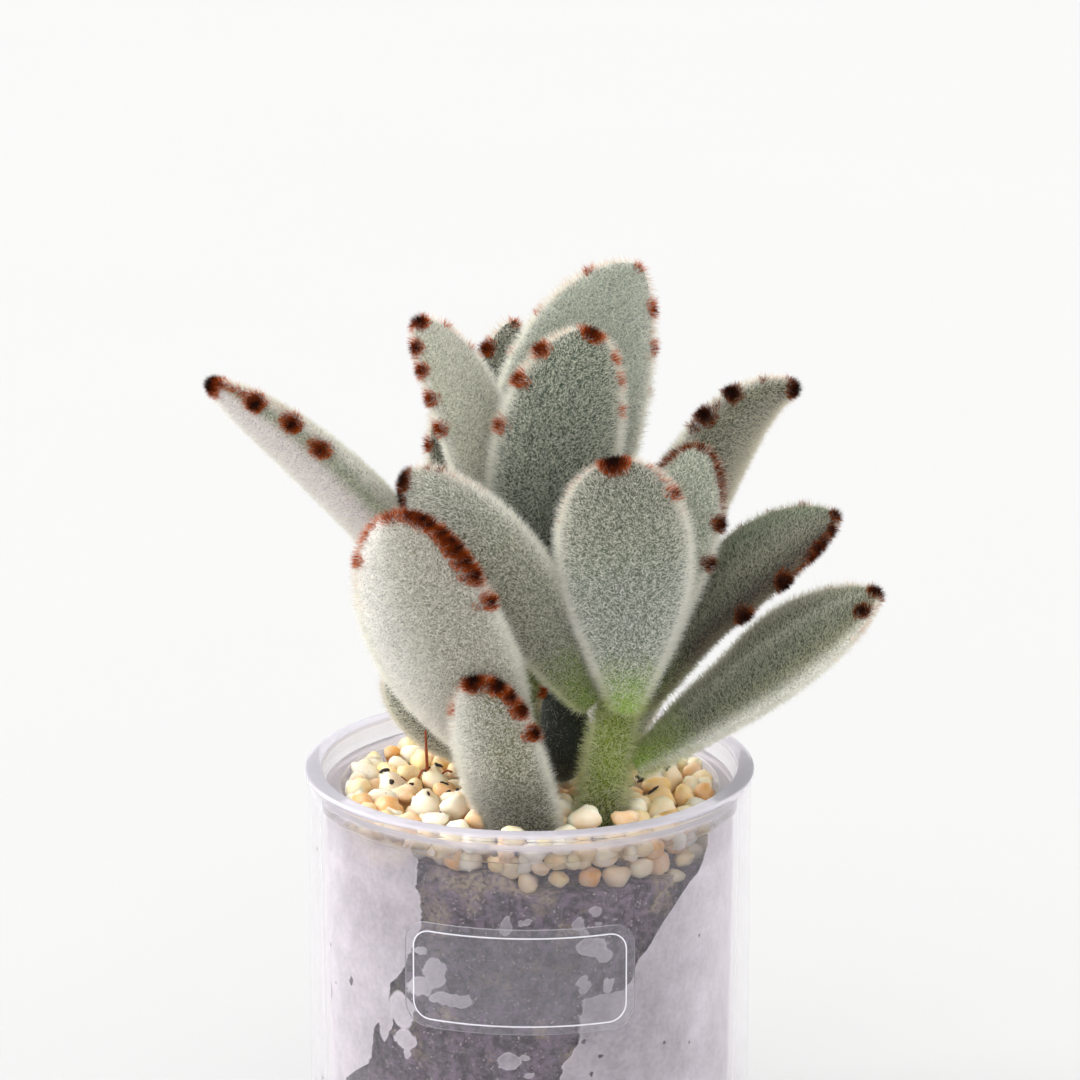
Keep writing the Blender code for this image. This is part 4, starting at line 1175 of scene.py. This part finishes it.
taken = []
for x, y, z, long_side, turn_now in FRONT_PEBBLES:
    taken.append((x, y))
    keep_pebble((x, y, z), (long_side, long_side * 0.8, long_side * 0.72),
                (rng.gauss(0, 0.2), rng.gauss(0, 0.2), math.radians(turn_now)),
                paint(rng.choice(PEBBLE_TONES[:2] + PEBBLE_TONES[4:])))
for attempt in range(POUR_TRIES):
    reach = (FILL_RADIUS - POUR_MARGIN) * math.sqrt(rng.random())
    a = rng.uniform(0, 2 * math.pi)
    spot = (reach * math.cos(a), reach * math.sin(a))
    if all((spot[0] - p[0]) ** 2 + (spot[1] - p[1]) ** 2 > PEBBLE_SPACING ** 2 for p in taken):
        taken.append(spot)
for spot in taken[len(FRONT_PEBBLES):]:
    mound = GRAVEL_MOUND * (1 - (math.hypot(*spot) / FILL_RADIUS) ** 2)
    lay_pebble((*spot, GRAVEL_LEVEL + mound + rng.uniform(-0.5, 0.7)),
               rng.uniform(3.0, 5.6), rng.uniform(0.6, 0.85), 0.45)
for x, y in taken:
    shift = (rng.uniform(1.2, 2.2), rng.uniform(-2.2, -1.2))
    z = GRAVEL_LEVEL - SECOND_LAYER_DROP + rng.uniform(-0.4, 0.4)
    lay_pebble((x + shift[0], y + shift[1], z), rng.uniform(3.4, 4.8), 0.75, 0.5)
for row in range(WALL_ROWS):
    for step in range(WALL_PEBBLES):
        a = 2 * math.pi * (step + 0.5 * (row % 2) + rng.uniform(-0.25, 0.25)) / WALL_PEBBLES
        z = WALL_TOP - WALL_ROW_HEIGHT * row + rng.uniform(-0.5, 0.5)
        if z - 0.9 < pebble_line(a) + rng.uniform(-1.0, 1.2):
            continue
        long_side = rng.uniform(2.9, 4.7)
        reach = FILL_RADIUS - 0.15 - long_side * 0.36
        keep_pebble((reach * math.cos(a), reach * math.sin(a), z),
                    (long_side * 0.72, long_side, long_side * rng.uniform(0.66, 0.9)),
                    (rng.gauss(0, 0.3), 0.0, a + rng.gauss(0, 0.12)), any_tone())

first, given = group("poured pebbles", Geometry=["Places"], Collection=["Shapes"],
                     Material=["Finish"], Int=["Seed"])
kinds = first.node("GeometryNodeCollectionInfo", {
    "Collection": given["Shapes"], "Separate Children": True, "Reset Children": True})
pick = first.node("FunctionNodeRandomValue", {
    "Min": 0, "Max": PEBBLE_SHAPES - 1, "Seed": given["Seed"]}, data_type="INT")
turn = first.node("FunctionNodeEulerToRotation", {0: stored(first, "turn", "FLOAT_VECTOR")})
laid = first.node("GeometryNodeInstanceOnPoints", {
    "Points": given["Places"], "Instance": kinds, "Pick Instance": True, "Instance Index": pick,
    "Rotation": turn, "Scale": stored(first, "size", "FLOAT_VECTOR")})
real = first.node("GeometryNodeRealizeInstances", {0: laid})
dressed = first.node("GeometryNodeSetMaterial", {"Geometry": real, "Material": given["Finish"]})
group_end(first, dressed.socket)

gravel = hung("poured_gravel", plain_mesh("poured_gravel", places, []))
painted(gravel, size=sizes, turn=turns, tone=tones)
grown(gravel, first.tree, {"Shapes": shapes, "Finish": stone, "Seed": 4})
for shape_piece in list(shapes.objects):
    bpy.data.objects.remove(shape_piece)
for layer in ("size", "turn"):
    if layer in gravel.data.attributes:
        gravel.data.attributes.remove(gravel.data.attributes[layer])
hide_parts("gravel")
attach(gravel, "root")

# Twig, rootlet and crumbs
# A short rust-brown dry twig stands in the gravel at the left, with a thin curved rootlet at
# its foot, and a few black crumbs of bark lie on the pebbles.
TWIG_FOOT = (-15.1, 1.5)
ROOTLET = np.array([(-18.9, 1.4), (-17.6, 2.4), (-16.3, 4.0), (-14.6, 4.3), (-13.0, 3.8), (-11.4, 3.2)])
ROOTLET_KNOTS, ROOTLET_THICK, ROOTLET_REACH = 15, 0.16, (-0.7, 0, 0.7)
CRUMB_SPOTS = [(-21.8, 2.3), (-21.2, 1.6), (-19.3, -3.3), (-17.6, -3.3), (-18.9, 0.9), (-11.1, -5.6),
               (-14.3, -9.2), (-12.6, -10.6), (15.1, -3.3), (16.2, -1.0), (17.5, -7.4), (21.7, 4.6),
               (20.3, 0.9), (-13.8, 5.6), (-12.5, 5.1), (-10.4, 3.0), (-13.0, -2.0), (-15.6, 2.2),
               (12.9, -9.6), (13.6, -8.4)]
CRUMB_THICK = 0.45

dry, start = finish("dry rust-brown twig")
patches = start.place().noise(700.0, 3.0)
surface(start, {"Base Color": patches.tinted(paint("#6A2A12"), paint("#B4562A")), "Roughness": 0.75})
black, start = finish("black bark crumbs")
flakes = start.place().noise(1400.0, 4.0)
surface(start, {"Base Color": flakes.tinted(paint("#120D0C"), paint("#3B2E28")),
                "Roughness": flakes * 0.3 + 0.6})


def strand(name, points, radii, mat):
    """A thin round strand through points in mm."""
    curve = bpy.data.curves.new(name, "CURVE")
    curve.dimensions = "3D"
    curve.bevel_depth = MM
    curve.bevel_resolution = 2
    curve.resolution_u = 6
    curve.use_fill_caps = True
    line = curve.splines.new("NURBS")
    line.points.add(len(points) - 1)
    for knot, spot, radius in zip(line.points, points, radii):
        knot.co = (spot[0] * MM, spot[1] * MM, spot[2] * MM, 1)
        knot.radius = radius
    line.use_endpoint_u = True
    line.order_u = 3
    made = bpy.data.objects.new(name, curve)
    bpy.context.scene.collection.objects.link(made)
    mesh = bpy.data.meshes.new_from_object(made.evaluated_get(bpy.context.evaluated_depsgraph_get()))
    bpy.data.objects.remove(made)
    work = bmesh.new()
    work.from_mesh(mesh)
    bmesh.ops.remove_doubles(work, verts=work.verts[:], dist=1e-6)
    bmesh.ops.recalc_face_normals(work, faces=work.faces[:])
    work.to_mesh(mesh)
    work.free()
    mesh.materials.clear()
    piece = hung(name, mesh, mat)
    mesh.shade_smooth()
    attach(piece, "root")


pebbles = BVHTree.FromPolygons([v.co / MM for v in gravel.data.vertices],
                               [p.vertices for p in gravel.data.polygons])


def beneath(x, y):
    """Where a line straight down at (x, y) meets the pebbles in mm, and which way they face there."""
    return pebbles.ray_cast(Vector((x, y, 80)), Vector((0, 0, -1)))[:2]


def on_pebbles(x, y):
    """The height in mm of the topmost pebble at (x, y), or of the gravel's level in a gap."""
    hit = beneath(x, y)[0]
    return hit.z if hit else GRAVEL_LEVEL


foot = on_pebbles(*TWIG_FOOT)
strand("dry_twig", [(-15.0, 1.4, 60.5), (-15.0, 1.5, foot), (-15.1, 0.2, foot + 3.2),
                    (-15.2, -0.6, foot + 6.9)], [0.26, 0.24, 0.22, 0.15], dry)
rootlet = []
for t in np.linspace(0, len(ROOTLET) - 1, ROOTLET_KNOTS):
    x, y = [float(np.interp(t, range(len(ROOTLET)), ROOTLET[:, i])) for i in (0, 1)]
    top = max(on_pebbles(x + dx, y + dy) for dx in ROOTLET_REACH for dy in ROOTLET_REACH)
    rootlet.append((x, y, top + 0.12))
strand("rootlet", rootlet, [ROOTLET_THICK] * ROOTLET_KNOTS, dry)
rng = random.Random(77)
work = bmesh.new()
for spot in CRUMB_SPOTS:
    for flake in range(rng.choice((1, 2, 2, 3))):
        long_side, broad_side = rng.uniform(0.8, 1.6), rng.uniform(0.45, 0.85)
        made = bmesh.ops.create_icosphere(work, subdivisions=1, radius=0.5)["verts"]
        tries = [(spot[0] + rng.uniform(-0.9, 0.9), spot[1] + rng.uniform(-0.9, 0.9)) for _ in range(6)]
        x, y = max(tries, key=lambda at: on_pebbles(*at))
        lie = beneath(x, y)[1] or Vector((0, 0, 1))
        flat = lie.to_track_quat("Z", "Y").to_matrix().to_4x4()
        turn_now = flat @ Matrix.Rotation(rng.uniform(0, 6.283), 4, "Z")
        for v in made:
            v.co *= rng.uniform(0.75, 1.2)
            bend = 0.15 * (v.co.x * 2) ** 2 * long_side * 0.5
            v.co = turn_now @ Vector((v.co.x * long_side, v.co.y * broad_side + bend, v.co.z * CRUMB_THICK))
            v.co = (v.co + Vector((x, y, on_pebbles(x, y))) + lie * 0.16) * MM
mesh = bpy.data.meshes.new("bark_crumbs")
work.to_mesh(mesh)
work.free()
crumbs = hung("bark_crumbs", mesh, black)
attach(crumbs, "root")

# Studio
# A plain pale floor and wall-less white surround, a broad soft light from the upper left,
# weaker ones from the front and low on the right, and the camera where the photograph was taken.
FLOOR_WIDTH, FLOOR_DROP = 6.0, 0.0002
# how bright the surround is where it only lights the plant, and where it is seen
SURROUND_LIGHT, SURROUND_SEEN = 0.78, 0.947
# lamps: where each shines from, its strength, its breadth in degrees and its colour
SUNS = {"key": ((-0.80, 0.18, 0.57), 3.2, 50, (1.0, 0.995, 0.985)),
        "fill": ((-0.15, -0.75, 0.65), 0.95, 80, (1.0, 1.0, 1.0)),
        "side": ((0.88, -0.2, 0.28), 0.8, 60, (1.0, 1.0, 1.0))}
CAMERA_SPOT, CAMERA_TILT, CAMERA_LENS, SENSOR = (1.54, -769.01, 320.48), 16.0, 184.17, 36.0

bpy.ops.mesh.primitive_plane_add(size=FLOOR_WIDTH, location=(0, 0, -FLOOR_DROP))
floor = bpy.context.object
floor.name = "floor"
pale_floor, start = finish("pale studio floor")
surface(start, {"Base Color": start.place().noise(8.0).tinted(paint("#C7C7C7"), paint("#C8C8C8")),
                "Roughness": 0.9})
floor.data.materials.append(pale_floor)

world = bpy.data.worlds.new("white surround")
bpy.context.scene.world = world
world.use_nodes = True
world.node_tree.nodes.clear()
start = Wire(world.node_tree)
seen = start.node("ShaderNodeLightPath", out="Is Camera Ray")
seen = seen.maths("MAXIMUM", seen.beside("Is Transmission Ray"))
grey = seen.tinted((*[SURROUND_LIGHT] * 3, 1), (*[SURROUND_SEEN] * 3, 1))
start.node("ShaderNodeOutputWorld", {"Surface": start.node("ShaderNodeBackground", {
    "Color": grey, "Strength": 1.0})})

for name, (shines_from, strength, breadth, colour) in SUNS.items():
    lamp = bpy.data.lights.new(name, "SUN")
    lamp.energy, lamp.angle, lamp.color = strength, math.radians(breadth), colour
    sun = bpy.data.objects.new(name, lamp)
    sun.rotation_euler = Vector(shines_from).to_track_quat("Z", "Y").to_euler()
    bpy.context.scene.collection.objects.link(sun)

lens = bpy.data.cameras.new("camera")
camera = bpy.data.objects.new("camera", lens)
bpy.context.scene.collection.objects.link(camera)
camera.location = [c * MM for c in CAMERA_SPOT]
camera.rotation_euler = (math.radians(90 - CAMERA_TILT), 0, 0)
lens.sensor_width, lens.lens = SENSOR, CAMERA_LENS
lens.clip_end = 20
bpy.context.scene.camera = camera
bpy.context.scene.view_settings.view_transform = "Standard"
